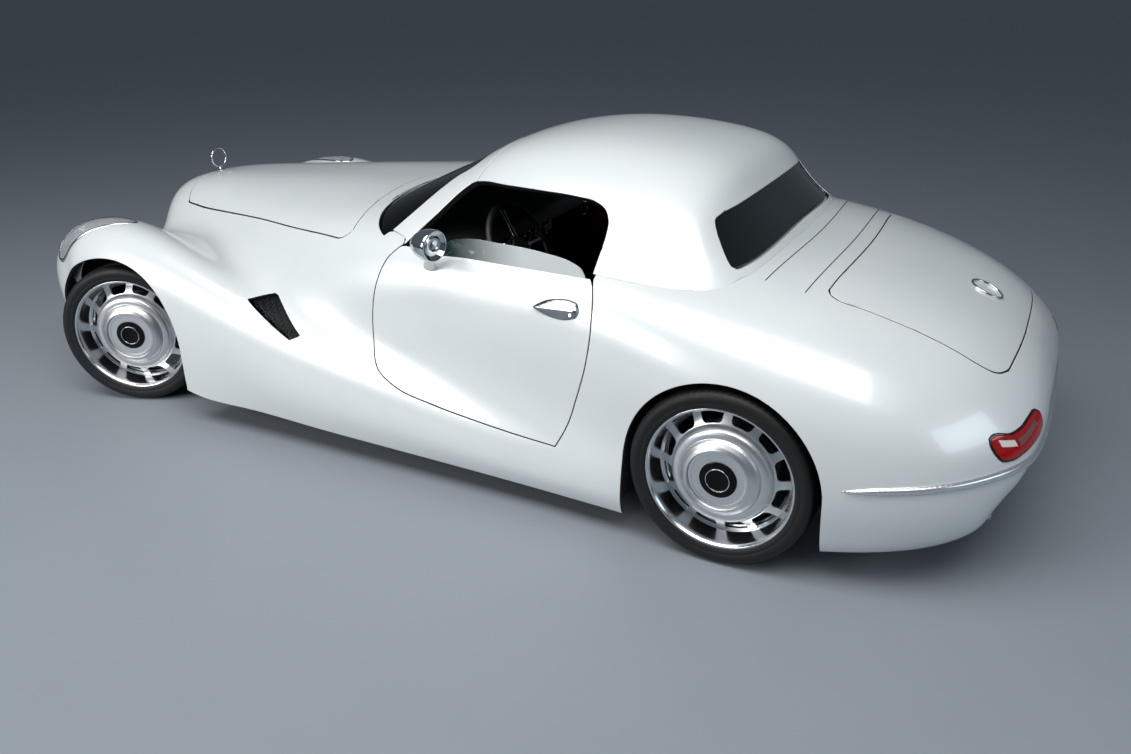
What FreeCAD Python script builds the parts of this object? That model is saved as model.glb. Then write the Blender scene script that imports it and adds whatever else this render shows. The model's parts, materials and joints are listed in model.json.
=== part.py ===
import FreeCAD, Part
import math
import os
from FreeCAD import Placement, Rotation, Vector

# Roadster with a lift-off hard top, in millimetres.
# X points to the car's left, the nose points along -Y, Z is up and the tyres stand on Z = 0.
# The front wheels are parked turned to the left, as they stand in the photograph.

doc = FreeCAD.newDocument("roadster")
sheet = doc.addObject("Spreadsheet::Sheet", "Sizes")

# The driving sizes: name, value, what it is.
SIZES = [
    ("body_x_unit", 1000, "what 1 in the x shares of the skin tables stands for"),
    ("body_y_unit", 1000, "what 1 in the y shares of the skin tables stands for"),
    ("body_z_unit", 1000, "what 1 in the z shares of the skin tables stands for"),
    ("body_shift", 168, "how far the origin lies behind y share 0"),
    ("skin", 12, "thickness of the body panels"),
    ("seam", 6, "shut gap round doors and lids"),
    ("fit_gap", 0.3, "gap between pieces that only rest on each other"),
    ("inner_gap", 0.4, "gap between the skin and what lies inside it"),
    ("overrun", 60, "how far a cutter runs past what it cuts"),
    ("wheelbase", 2801, "front axle to rear axle"),
    ("front_axle_ahead", 1598.5, "front axle ahead of the origin"),
    ("king_pin_out", 755, "steering axis from the centre plane"),
    ("rim_face_front", 912, "front rim's outer edge from the centre plane, wheels straight"),
    ("rim_face_rear", 923, "rear rim's outer edge from the centre plane"),
    ("tyre_radius", 315, "outer radius of the tyre"),
    ("tread_groove", 8, "width and depth of the grooves round the tread"),
    ("tyre_width", 245, "widest part of the tyre"),
    ("rim_radius", 252.5, "radius over the rim's lip"),
    ("rim_width", 226, "width over the rim's lips"),
    ("rim_wall", 7, "thickness of the rim's barrel"),
    ("bead_radius", 241, "seat of the tyre on the rim"),
    ("hub_depth", 75, "rim's outer edge in to the hub's mounting face"),
    ("hub_radius", 78, "radius of the wheel's hub disc"),
    ("dish_thickness", 9, "thickness of the wheel's disc"),
    ("disc_radius", 158, "radius of the brake disc"),
    ("disc_thickness", 24, "thickness of the brake disc"),
    ("disc_inset", 30, "hub's mounting face in to the brake disc"),
    ("stub_radius", 24, "radius of the stub axle that carries the wheel"),
    ("stub_play", 0.05, "running clearance of the wheel on its stub axle"),
    ("slot_count", 12, "openings round each wheel"),
    ("steer_rest", 22.5, "angle at which the front wheels are parked, in degrees"),
    ("arch_in", 600, "inner end of the wheel openings from the centre plane"),
    ("front_arch_radius", 390, "half length of the front wheel opening"),
    ("front_arch_rise", 357, "height of the front wheel opening over the axle"),
    ("front_arch_back", 45.5, "front opening's centre behind the axle"),
    ("rear_arch_radius", 338, "radius of the rear wheel opening"),
    ("door_depth", 75, "thickness of a door"),
    ("door_step", 18, "how far the door's inner box stops short of its skin"),
    ("roof_wall", 24, "thickness of the hard top and the windscreen frame"),
    ("pane", 5, "thickness of the glass"),
    ("pane_gap", 0.5, "gap round a pane"),
    ("tub_wall", 25, "thickness of the cabin's walls"),
    ("tub_half", 680, "half width inside the cabin at the sills"),
    ("floor_height", 130, "underside of the cabin floor"),
    ("sill_height", 400, "top of the inner sills"),
    ("glass_in", 30, "door glass in from the skin"),
    ("glass_lift", 70, "how far the door glass follows the body's curve upwards"),
    ("rim_drop", 26, "depth of the well in the rim's barrel"),
    ("slot_width", 70, "width of an opening in the wheel's disc"),
    ("upright_width", 36, "width of a wheel's upright"),
    ("lower_arm_height", 124, "underside of the lower wishbones"),
    ("upper_arm_height", 483, "underside of the upper wishbones"),
    ("arm_thickness", 22, "thickness of a wishbone"),
    ("arm_root", 150, "half width of a wishbone at the chassis"),
    ("tower_thickness", 14, "thickness of the front suspension's towers"),
    ("caliper_pad", 24, "how far the caliper covers each face of the brake disc"),
    ("shaft_radius", 17, "radius of a drive shaft"),
    ("final_drive", 150, "size of the final drive's case"),
    ("front_rail_out", 470, "outer face of the front rails from the centre plane"),
    ("front_rail_low", 230, "underside of the front rails"),
    ("rear_rail_out", 560, "outer face of the rear rails from the centre plane"),
    ("rear_rail_low", 300, "underside of the rear rails"),
    ("rail_width", 75, "width of a rail"),
    ("rail_height", 100, "height of a rail"),
    ("floor_plate", 16, "thickness of the floor plate"),
    ("jack_pad", 90, "side of a jacking pad"),
    ("jack_drop", 8, "how far a jacking pad stands out under the floor plate"),
    ("jack_out", 620, "jacking pads from the centre plane"),
    ("jack_spread", 700, "jacking pads from the middle of the car"),
    ("plate_half", 800, "half width of the floor plate"),
    ("shelf_height", 690, "top of the shelf behind the seats"),
    ("sill_lip", 120, "height of the outer sills over the floor plate"),
    ("engine_width", 520, "width of the engine"),
    ("engine_length", 760, "length of the engine"),
    ("engine_height", 400, "height of the engine"),
    ("tunnel_half", 110, "half width of the cabin's tunnel"),
    ("tunnel_height", 380, "top of the cabin's tunnel"),
    ("dash_half", 600, "half width of the dashboard"),
    ("seat_width", 500, "width of a seat"),
    ("seat_out", 370, "middle of a seat from the centre plane"),
    ("helm_radius", 182, "radius of the steering wheel"),
    ("helm_grip", 13, "radius of the steering wheel's rim section"),
    ("helm_tilt", 62, "lean of the steering wheel from flat, in degrees"),
    ("liner", 5, "thickness of the wheel arch liners and the boot floor"),
    ("liner_foot", 150, "lowest edge of the wheel arch liners"),
    ("front_liner_in", 490, "inner wall of the front arches from the centre plane"),
    ("rear_liner_in", 650, "inner wall of the rear arches from the centre plane"),
    ("boot_half", 570, "half width inside the boot"),
    ("tip_height", 200, "height of the exhaust's middle"),
    ("tip_radius", 38, "radius of an exhaust tip"),
    ("pipe_out", 260, "exhaust pipes from the centre plane"),
    ("tip_wall", 4, "wall of an exhaust tip"),
    ("tip_out", 500, "exhaust tips from the centre plane"),
    ("trim_depth", 14, "how far the bumper strip and the handles stand out"),
    ("mirror_radius", 62, "radius of a mirror's shell before it is stretched"),
    ("mirror_rim", 6, "depth of the rim round a mirror's glass"),
    ("mirror_turn", 12, "how far a mirror faces the driver, in degrees"),
    ("mirror_stem", 9, "radius of a mirror's stem"),
    ("mascot_ring", 27, "radius of the nose ornament's plain ring"),
    ("mascot_foot", 16, "height of the ornament's foot"),
    ("mascot_wire", 4, "radius of the ornament's wire"),
    ("groove", 3, "width of the grooves across the rear deck"),
    ("groove_depth", 5, "depth of the grooves across the rear deck"),
    ("plate_width", 530, "width of the recess for a number plate"),
    ("plate_rise", 125, "height of the recess for a number plate"),
    ("grille_stand", 2, "how far the grille's surround stands out of the nose"),
    ("grille_depth", 26, "depth of the grille"),
    ("grille_rim", 14, "width of the grille's surround"),
    ("bar_count", 13, "upright bars in the grille"),
    ("bar_width", 6, "width of a grille bar"),
    ("lamp_depth", 18, "thickness of the lamps"),
    ("vent_recess", 6, "how far the side vents lie under the skin"),
    ("vent_sheet", 5, "thickness of the side vents' mesh"),
    ("lid_top_gap", 0.3, "gap under the hard top's edge"),
]
for row, (name, value, note) in enumerate(SIZES, 1):
    sheet.set("A%d" % row, note)
    sheet.set("B%d" % row, str(value))
    sheet.setAlias("B%d" % row, name)
doc.recompute()


def size(name):
    return float(sheet.get(name))


nodes = []


def keep(label, shape, place=None):
    feature = doc.addObject("Part::Feature", label)
    feature.Label = label
    feature.Shape = shape
    if place is not None:
        feature.Placement = place
    nodes.append(feature)
    return feature


def block(name, sizes, corner):
    """A box whose three sizes and whose low corner are expressions on the sheet."""
    box = doc.addObject("Part::Box", name)
    for prop, text in zip(("Length", "Width", "Height"), sizes):
        box.setExpression(prop, text)
    for axis, text in zip("xyz", corner):
        box.setExpression("Placement.Base." + axis, text)
    return box


X1 = size("body_x_unit")
Y1 = size("body_y_unit")
Z1 = size("body_z_unit")
SHIFT = size("body_shift")
FRONT_Y = -size("front_axle_ahead")
REAR_Y = FRONT_Y + size("wheelbase")
FAR = X1 + size("overrun")


def at(x, y, z):
    """A point of the skin tables in millimetres."""
    return Vector(x * X1, y * Y1 - SHIFT, z * Z1)


# The body's skin. Each row is a station from the nose to the tail with 13 points from the centre
# line over the bonnet, the wing's crest and the flank down to the sill: x and z shares, and a y
# share of its own where the station isn't flat.
BODY_STATION_SHARES = [
    (-1.80, [(0, .20, -1.86), (.10, .20, -1.86), (.18, .20, -1.86), (.24, .20, -1.86),
             (.30, .20, -1.86), (.40, .20, -1.86), (.52, .20, -1.86), (.66, .20, -1.85),
             (.78, .20, -1.80), (.86, .20, -1.74), (.90, .20, -1.72), (.92, .20, -1.71),
             (.92, .20, -1.69)]),
    (-1.90, [(0, .36, -1.90), (.10, .36, -1.90), (.18, .36, -1.90), (.24, .36, -1.90),
             (.30, .36, -1.90), (.40, .36, -1.91), (.52, .36, -1.93), (.66, .38, -1.95),
             (.80, .38, -1.92), (.88, .36, -1.80), (.92, .34, -1.72), (.93, .30, -1.70),
             (.93, .26, -1.68)]),
    (-1.93, [(0, .58, -1.89), (.10, .58, -1.89), (.18, .56, -1.88), (.25, .54, -1.84),
             (.31, .50, -1.82), (.40, .46, -1.88), (.52, .50, -1.96), (.66, .56, -2.00),
             (.81, .58, -1.95), (.90, .50, -1.82), (.935, .44, -1.70), (.94, .38, -1.68),
             (.94, .30, -1.66)]),
    (-1.85, [(0, .80, -1.83), (.08, .80, -1.83), (.16, .78, -1.82), (.23, .73, -1.78),
             (.28, .66, -1.74), (.36, .56, -1.76), (.50, .62, -1.85), (.64, .72, -1.88),
             (.80, .72, -1.83), (.90, .62, -1.72), (.945, .52, -1.62), (.95, .44, -1.60),
             (.95, .36, -1.60)]),
    (-1.62, [(0, .86), (.09, .86), (.18, .84), (.26, .78), (.31, .70), (.38, .62), (.50, .66),
             (.62, .77), (.78, .81), (.90, .74), (.95, .62), (.955, .54), (.955, .46)]),
    (-1.37, [(0, .89), (.12, .89), (.24, .865), (.33, .80), (.38, .72), (.44, .64), (.55, .68),
             (.66, .78), (.80, .81), (.91, .74), (.955, .60), (.96, .53), (.96, .44)]),
    (-1.05, [(0, .915), (.15, .915), (.30, .885), (.42, .83), (.48, .76), (.56, .68), (.66, .66),
             (.76, .72), (.86, .72), (.93, .61), (.955, .43), (.96, .26), (.96, .11)]),
    (-.70, [(0, .945), (.19, .945), (.38, .91), (.52, .86), (.60, .79), (.68, .70), (.75, .63),
            (.82, .60), (.89, .58), (.94, .485), (.955, .36), (.955, .23), (.94, .135)]),
    (-.35, [(0, .96), (.23, .96), (.46, .93), (.62, .89), (.71, .82), (.77, .72), (.80, .62),
            (.84, .53), (.895, .48), (.935, .40), (.95, .287), (.95, .192), (.93, .114)]),
    (0, [(0, .97), (.26, .97), (.52, .96), (.68, .91), (.765, .85), (.81, .73), (.825, .62),
         (.84, .50), (.885, .42), (.925, .34), (.94, .244), (.94, .176), (.92, .107)]),
    (.35, [(0, .97), (.28, .97), (.54, .965), (.70, .92), (.79, .86), (.83, .73), (.84, .60),
           (.845, .46), (.875, .37), (.915, .29), (.93, .21), (.93, .15), (.91, .10)]),
    (.70, [(0, .96), (.28, .96), (.54, .96), (.70, .92), (.80, .86), (.845, .74), (.855, .60),
           (.855, .44), (.87, .33), (.905, .25), (.92, .18), (.92, .13), (.90, .09)]),
    (1.0, [(0, .95), (.28, .95), (.54, .95), (.70, .91), (.82, .85), (.88, .74), (.90, .60),
           (.90, .46), (.90, .34), (.92, .25), (.93, .18), (.93, .13), (.91, .09)]),
    (1.37, [(0, .93), (.26, .93), (.50, .915), (.68, .88), (.83, .82), (.92, .72), (.96, .60),
            (.965, .48), (.965, .38), (.96, .28), (.95, .194), (.94, .14), (.92, .088)]),
    (1.70, [(0, .875), (.24, .875), (.46, .86), (.63, .83), (.78, .77), (.88, .68), (.94, .57),
            (.95, .46), (.95, .36), (.94, .27), (.92, .20), (.91, .15), (.89, .12)]),
    (2.0, [(0, .79), (.20, .79), (.40, .775), (.55, .74), (.69, .68), (.79, .60), (.85, .51),
           (.87, .42), (.87, .34), (.86, .27), (.84, .21), (.82, .18), (.80, .16)]),
    (2.16, [(0, .70), (.16, .70), (.32, .685), (.46, .655), (.57, .60), (.65, .54), (.70, .47),
            (.72, .40), (.72, .34), (.71, .28), (.69, .24), (.67, .21), (.65, .20)]),
    (2.26, [(0, .60), (.12, .60), (.25, .59), (.36, .575), (.45, .54), (.52, .49),
            (.56, .44, 2.25), (.585, .39, 2.24), (.59, .34, 2.22), (.59, .30, 2.20),
            (.585, .27, 2.18), (.58, .25, 2.17), (.57, .235, 2.16)]),
    (2.285, [(0, .47), (.10, .47), (.20, .465), (.30, .455), (.38, .44, 2.28), (.44, .41, 2.265),
             (.49, .38, 2.25), (.52, .345, 2.235), (.53, .31, 2.22), (.53, .285, 2.20),
             (.53, .26, 2.19), (.525, .245, 2.18), (.52, .235, 2.17)]),
    (2.27, [(0, .34, 2.275), (.09, .34, 2.275), (.18, .335), (.27, .33, 2.265),
            (.34, .32, 2.255), (.40, .305, 2.245), (.44, .29, 2.23), (.465, .275, 2.22),
            (.475, .262, 2.21), (.48, .252, 2.20), (.48, .245, 2.19), (.475, .24, 2.185),
            (.47, .235, 2.18)]),
    (2.23, [(0, .225, 2.235), (.08, .225, 2.235), (.16, .225, 2.233), (.24, .225), (.30, .225, 2.225),
            (.35, .225, 2.218), (.385, .225, 2.21), (.41, .225, 2.203), (.425, .225, 2.198),
            (.435, .225, 2.193), (.435, .225, 2.19), (.435, .225, 2.187), (.43, .225, 2.184)]),
]

# The windscreen and the roof: nine rows from the screen's foot over the top to the rear deck, each
# with six points from the centre line down to the belt: x, y and z shares.
ROOF_ROW_SHARES = [
    [(0, -.275, .945), (.2, -.292, .94), (.42, -.298, .925), (.61, -.255, .885),
     (.712, -.155, .856), (.745, -.04, .85)],
    [(0, -.165, 1.012), (.2, -.177, 1.008), (.41, -.168, .988), (.595, -.11, .944),
     (.698, -.01, .892), (.738, .06, .857)],
    [(0, .065, 1.11), (.19, .07, 1.106), (.38, .092, 1.083), (.545, .16, 1.03),
     (.664, .205, .953), (.738, .23, .86)],
    [(0, .27, 1.222), (.19, .27, 1.217), (.37, .28, 1.197), (.53, .32, 1.124),
     (.66, .36, 1.001), (.745, .38, .86)],
    [(0, .6, 1.268), (.2, .6, 1.263), (.39, .6, 1.238), (.56, .6, 1.167),
     (.68, .6, 1.016), (.76, .6, .86)],
    [(0, .93, 1.251), (.2, .93, 1.246), (.39, .92, 1.226), (.56, .89, 1.15),
     (.69, .86, 1.003), (.77, .84, .86)],
    [(0, 1.204, 1.189), (.2, 1.204, 1.189), (.41, 1.199, 1.169), (.6, 1.148, 1.099),
     (.712, 1.051, .965), (.775, .98, .858)],
    [(0, 1.223, 1.025), (.2, 1.223, 1.025), (.43, 1.218, 1.01), (.62, 1.213, .966),
     (.718, 1.158, .902), (.765, 1.1, .857)],
    [(0, 1.405, .895), (.2, 1.405, .895), (.42, 1.395, .892), (.62, 1.355, .88),
     (.715, 1.285, .866), (.748, 1.215, .856)],
]


def mirrored_rows(rows):
    """Rows of points across the whole car, from the right side to the left."""
    whole = []
    for row in rows:
        other = [Vector(-p.x, p.y, p.z) for p in reversed(row[1:])]
        whole.append(other + row)
    return whole


def body_rows():
    rows = []
    for station_y, points in BODY_STATION_SHARES:
        row = []
        for point in points:
            own_y = point[2] if len(point) > 2 else station_y
            row.append(at(point[0], own_y, point[1]))
        rows.append(row)
    return mirrored_rows(rows)


def roof_rows():
    return mirrored_rows([[at(*point) for point in row] for row in ROOF_ROW_SHARES])


def knot_list(count):
    return [step / (count - 3) for step in range(count - 2)]


def spline_surface(rows):
    """A clamped cubic surface over rows of control points."""
    down = len(rows)
    across = len(rows[0])
    surface = Part.BSplineSurface()
    surface.buildFromPolesMultsKnots(
        rows,
        [4] + [1] * (down - 4) + [4],
        [4] + [1] * (across - 4) + [4],
        knot_list(down),
        knot_list(across),
        False,
        False,
        3,
        3,
    )
    return surface


def middle_knots(count):
    """Where along the surface each control point has its strongest pull."""
    full = [0] * 3 + knot_list(count) + [1] * 3
    return [(full[i + 1] + full[i + 2] + full[i + 3]) / 3 for i in range(count)]


def inset_rows(rows, depth, hold_ends):
    """Control points moved inwards by a depth along the surface's normals."""
    surface = spline_surface(rows)
    downs = middle_knots(len(rows))
    acrosses = middle_knots(len(rows[0]))
    result = []
    for i, row in enumerate(rows):
        moved = []
        for j, point in enumerate(row):
            normal = surface.normal(downs[i], acrosses[j])
            new = point + normal * depth
            if hold_ends and i in (0, len(rows) - 1):
                new.z = point.z
            moved.append(new)
        result.append(moved)
    return result


def solid_of(faces):
    shell = Part.Shell(faces)
    shell.sewShape()
    solid = Part.Solid(shell)
    if solid.Volume < 0:
        solid.reverse()
    return solid


def slab(outer_rows, inner_rows):
    """The solid between two surfaces over the same layout of points."""
    outer = spline_surface(outer_rows)
    inner = spline_surface(inner_rows)
    faces = [outer.toShape(), inner.toShape()]
    for place in (0, 1):
        faces.append(Part.makeRuledSurface(outer.uIso(place).toShape(), inner.uIso(place).toShape()))
        faces.append(Part.makeRuledSurface(outer.vIso(place).toShape(), inner.vIso(place).toShape()))
    return solid_of(faces)


def mass(rows):
    """The closed solid under a body surface, down to straight lines from sill to sill."""
    surface = spline_surface(rows)
    faces = [surface.toShape()]
    faces.append(Part.makeRuledSurface(surface.vIso(0).toShape(), surface.vIso(1).toShape()))
    for place, row in ((0, rows[0]), (1, rows[-1])):
        rim = surface.uIso(place).toShape()
        chord = Part.LineSegment(row[0], row[-1]).toShape()
        faces.append(Part.Face(Part.Wire(Part.__sortEdges__([rim, chord]))))
    return solid_of(faces)


def sideways(normal_sign_rows):
    """1 where the surface's own normals point inwards, else -1."""
    surface = spline_surface(normal_sign_rows)
    return 1 if surface.normal(0.5, 0.5).z < 0 else -1


def grown(points, gap):
    """A closed outline moved outwards by a gap."""
    count = len(points)
    area = 0
    for (ax, ay), (bx, by) in zip(points, points[1:] + points[:1]):
        area += ax * by - bx * ay
    turn = 1 if area > 0 else -1
    result = []
    for i, (px, py) in enumerate(points):
        before = points[i - 1]
        after = points[(i + 1) % count]
        first = Vector(px - before[0], py - before[1], 0).normalize()
        second = Vector(after[0] - px, after[1] - py, 0).normalize()
        first = Vector(first.y * turn, -first.x * turn, 0)
        second = Vector(second.y * turn, -second.x * turn, 0)
        middle = (first + second).normalize()
        reach = gap / max(middle.dot(first), 0.5)
        result.append((px + middle.x * reach, py + middle.y * reach))
    return result


def prism(points, corners, axis, low, high, gap=0):
    """An outline carried straight along X, Y or Z.

    The outline is smooth between the numbered corners and straight where only two points lie
    between them.
    """
    flat = grown(points, gap) if gap else points
    count = len(flat)

    def place(point):
        if axis == "x":
            return Vector(low, point[0], point[1])
        if axis == "y":
            return Vector(point[0], low, point[1])
        return Vector(point[0], point[1], low)

    edges = []
    for number, start in enumerate(corners):
        end = corners[(number + 1) % len(corners)]
        run = [start]
        while run[-1] != end:
            run.append((run[-1] + 1) % count)
        spots = [place(flat[i]) for i in run]
        if len(spots) == 2:
            edges.append(Part.LineSegment(spots[0], spots[1]).toShape())
        else:
            curve = Part.BSplineCurve()
            curve.interpolate(spots)
            edges.append(curve.toShape())
    face = Part.Face(Part.Wire(edges))
    reach = high - low
    along = {"x": Vector(reach, 0, 0), "y": Vector(0, reach, 0), "z": Vector(0, 0, reach)}[axis]
    return face.extrude(along)


def cuboid(low, high):
    return Part.makeBox(high.x - low.x, high.y - low.y, high.z - low.z, low)


def sided(side, near, front, low, far, back, high):
    """A box on one side of the car, from near to far out."""
    box = cuboid(Vector(near, front, low), Vector(far, back, high))
    return box if side > 0 else box.mirror(Vector(0, 0, 0), Vector(1, 0, 0))


def both_sides(points):
    """An outline drawn on one side of the centre line, completed by its mirror image."""
    other = [(-x, y) for x, y in reversed(points) if x > 0]
    return points + other


def side_points(shares):
    return [(y * Y1 - SHIFT, z * Z1) for y, z in shares]


def plan_points(shares):
    return [(x * X1, y * Y1 - SHIFT) for x, y in shares]


# Outlines of the openings and shut lines. Side outlines are y and z shares, plan ones x and y.
DOOR_LINE_SHARES = [
    (.039, .870), (-.006, .826), (-.039, .748), (-.053, .669), (-.048, .538), (-.006, .425),
    (.084, .372), (.241, .336), (.421, .310), (.587, .292), (.765, .282),
    (.805, .368), (.836, .470), (.872, .609), (.882, .729), (.866, .830), (.846, .870),
]
DOOR_CORNERS = [0, 10, 16]
SIDE_WINDOW_SHARES = [
    (.038, .800), (.038, .870), (.115, .965), (.190, 1.058), (.220, 1.080), (.258, 1.089),
    (.400, 1.098), (.560, 1.101), (.700, 1.098), (.780, 1.089), (.823, 1.070), (.846, 1.040),
    (.852, .990), (.845, .926), (.838, .870), (.838, .800),
]
SIDE_WINDOW_CORNERS = [0, 1, 14, 15]
BONNET_LINE_SHARES = [
    (0, -1.615), (.12, -1.612), (.22, -1.60), (.285, -1.57), (.335, -1.42), (.387, -1.25),
    (.499, -.891), (.603, -.578), (.675, -.33), (.680, -.285), (.660, -.255), (.579, -.270),
    (.447, -.295), (.25, -.318), (0, -.325),
]
BOOT_LINE_SHARES = [
    (0, 1.598), (.25, 1.592), (.47, 1.578), (.535, 1.575), (.556, 1.60), (.558, 1.68),
    (.541, 1.90), (.528, 2.03), (.50, 2.10), (.44, 2.135), (.25, 2.152), (0, 2.157),
]
CABIN_LINE_SHARES = [
    (0, -.19), (.45, -.185), (.60, -.13), (.665, -.05), (.70, .036), (.79, .036), (.79, .850),
    (.715, .852), (.70, 1.02), (.62, 1.20), (.50, 1.25), (0, 1.27),
]
SCREEN_LINE_SHARES = [
    (0, -.232), (.25, -.240), (.42, -.228), (.56, -.190), (.640, -.142), (.697, -.076),
    (.639, -.034), (.566, .010), (.485, .051), (.418, .090), (.385, .140), (.30, .168),
    (0, .172),
]
REAR_WINDOW_SHARES = [
    (0, 1.080), (.30, 1.077), (.47, 1.069), (.522, 1.057), (.540, 1.036), (.563, .997),
    (.600, .936), (.606, .922), (.590, .918), (.472, .928), (.25, .941), (0, .946),
]
GRILLE_LINE_SHARES = [
    (0, .790), (.08, .788), (.145, .762), (.178, .70), (.185, .60), (.170, .48), (.130, .40),
    (.06, .375), (0, .372),
]
TAIL_LAMP_SHARES = [
    (.700, .540), (.630, .535), (.560, .528), (.480, .540), (.432, .556), (.405, .540),
    (.400, .500), (.440, .455), (.520, .425), (.610, .430), (.690, .468),
]
TAIL_LAMP_CORNERS = [0, 4, 6, 10]
LAMP_POINTS = 16
HEADLAMP_CENTRE_SHARE = (.802, .655)
HEADLAMP_HALF_SHARE = (.082, .120)
VENT_LINE_SHARES = [(-.668, .577), (-.560, .604), (-.372, .484), (-.400, .464)]


def numbered(points, spots):
    """The places of the listed spots and of their mirror images in a mirrored outline."""
    last = len(points)
    return sorted(set(spots + [(last - spot) % last for spot in spots]))


bonnet_points = both_sides(plan_points(BONNET_LINE_SHARES))
boot_points = both_sides(plan_points(BOOT_LINE_SHARES))
cabin_points = both_sides(plan_points(CABIN_LINE_SHARES))
screen_points = both_sides(plan_points(SCREEN_LINE_SHARES))
rear_window_points = [(x * X1, z * Z1) for x, z in REAR_WINDOW_SHARES]
rear_window_points = rear_window_points + [
    (-x, z) for x, z in reversed(rear_window_points) if x > 0
]
door_points = side_points(DOOR_LINE_SHARES)
side_window_points = side_points(SIDE_WINDOW_SHARES)
vent_points = side_points(VENT_LINE_SHARES)
ALL = list(range(4))
grille_points = [(x * X1, z * Z1) for x, z in GRILLE_LINE_SHARES]
grille_points = grille_points + [(-x, z) for x, z in reversed(grille_points) if x > 0]


def grille_cut(gap):
    corners = numbered(grille_points, [0, 8])
    return prism(grille_points, corners, "y", -2.2 * Y1 - SHIFT, -1.70 * Y1 - SHIFT, gap)


def lamp_hole(side, gap):
    """The oval hole of a headlamp in the front of a wing, seen from ahead."""
    middle = HEADLAMP_CENTRE_SHARE
    half = HEADLAMP_HALF_SHARE
    points = []
    for step in range(LAMP_POINTS):
        turn = 2 * math.pi * step / LAMP_POINTS
        points.append((side * (middle[0] + half[0] * math.cos(turn)) * X1,
                       (middle[1] + half[1] * math.sin(turn)) * Z1))
    return prism(points, [0, LAMP_POINTS // 2], "y", -2.2 * Y1 - SHIFT, -1.42 * Y1 - SHIFT, gap)


def tail_lamp_hole(side, gap):
    points = [(side * x * X1, z * Z1) for x, z in TAIL_LAMP_SHARES]
    return prism(points, TAIL_LAMP_CORNERS, "y", 1.95 * Y1 - SHIFT, 2.6 * Y1 - SHIFT, gap)


def bonnet_cut(gap):
    corners = numbered(bonnet_points, [3, 8, 10])
    return prism(bonnet_points, corners, "z", Z1 / 2, 2 * Z1, gap)


def boot_cut(gap):
    return prism(boot_points, numbered(boot_points, [3, 5, 7, 9]), "z", Z1 / 2, 2 * Z1, gap)


def cabin_cut():
    return prism(cabin_points, numbered(cabin_points, list(range(1, 11))), "z", Z1 / 2, 2 * Z1)


def screen_cut(gap):
    corners = numbered(screen_points, [5])
    return prism(screen_points, corners, "z", Z1 * 0.7, 2 * Z1, gap)


def rear_window_cut(gap):
    corners = numbered(rear_window_points, [2, 3, 4, 6, 7, 8])
    return prism(rear_window_points, corners, "y", Y1 * 0.7 - SHIFT, 2 * Y1, gap)


def door_cut(gap, side):
    low, high = (0, FAR) if side > 0 else (-FAR, 0)
    return prism(door_points, DOOR_CORNERS, "x", low, high, gap)


def window_cut():
    return prism(side_window_points, SIDE_WINDOW_CORNERS, "x", -FAR, FAR)


ARCH_POINTS = 12


def arch_cut(centre_y, radius, rise, side):
    """A wheel opening: half an ellipse that runs straight down to the ground through the flank."""
    near = size("arch_in")
    axle = size("tyre_radius")
    low, high = (near, near + FAR) if side > 0 else (-near - FAR, -near)
    points = [(centre_y - radius, -size("overrun"))]
    for step in range(ARCH_POINTS + 1):
        turn = math.pi * step / ARCH_POINTS
        points.append((centre_y - radius * math.cos(turn), axle + rise * math.sin(turn)))
    points.append((centre_y + radius, -size("overrun")))
    last = len(points) - 1
    return prism(points, [0, 1, last - 1, last], "x", low, high)


def moved(shape, x=0, y=0, z=0):
    copy = shape.copy()
    copy.translate(Vector(x, y, z))
    return copy


SKIN = size("skin")
SEAM = size("seam")
GAP = size("fit_gap")
outer_rows = body_rows()
INWARDS = sideways(outer_rows)
body_slab = slab(outer_rows, inset_rows(outer_rows, INWARDS * SKIN, True))
body_mass = mass(outer_rows)
inner_mass = mass(inset_rows(outer_rows, INWARDS * (SKIN + size("inner_gap")), True))
roof_outer = roof_rows()
ROOF_INWARDS = sideways(roof_outer)
roof_slab = slab(roof_outer, inset_rows(roof_outer, ROOF_INWARDS * size("roof_wall"), False))

WING_END = .93 * Y1 - SHIFT
DECK_HALF = .62 * X1
DECK_FRONT = 1.05 * Y1 - SHIFT
TAIL_LINE = 2.13 * Y1 - SHIFT
NOSE_HALF = .30 * X1
NOSE_END = -1.45 * Y1 - SHIFT
SCUTTLE_HALF = .76 * X1
SCUTTLE_FRONT = -.36 * Y1 - SHIFT
SCUTTLE_BACK = .2 * Y1 - SHIFT
HEADER_LINE = .235 * Y1 - SHIFT
FRONT_ARCH_Y = FRONT_Y + size("front_arch_back")
NOSE_TIP = -2.2 * Y1 - SHIFT
TAIL_TIP = 2.6 * Y1 - SHIFT
TUB_LOW_BACK = 1.025 * Y1 - SHIFT
TUB_BACK = 1.25 * Y1 - SHIFT
TOP = 1.5 * Z1


def main_solid(shape):
    """The largest solid of a cut, without the slivers beside it."""
    return max(shape.Solids, key=lambda solid: solid.Volume)


def under_skin(low, high):
    """The space between two depths under the skin."""
    return slab(inset_rows(outer_rows, INWARDS * low, True),
                inset_rows(outer_rows, INWARDS * high, True))


# The two decorative grooves across the rear deck: where they cross the centre line and how far
# back they lie there against their ends, as y shares.
GROOVE_SHARES = [(1.380, 1.416), (1.512, 1.540)]


def deck_groove(spot):
    """A shallow groove from side to side that bows back towards the centre line."""
    side_y, middle_y = spot
    half = size("groove") / 2
    reach = .585 * X1
    bow = (middle_y - side_y) * Y1
    front = []
    for step in range(9):
        share = step / 4 - 1
        front.append((share * reach, side_y * Y1 - SHIFT + bow * (1 - share * share)))
    back = [(x, y + half) for x, y in reversed(front)]
    front = [(x, y - half) for x, y in front]
    layer = under_skin(-GAP, size("groove_depth"))
    return layer.common(prism(front + back, [0, 8, 9, 17], "z", Z1 / 2, 2 * Z1))


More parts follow.
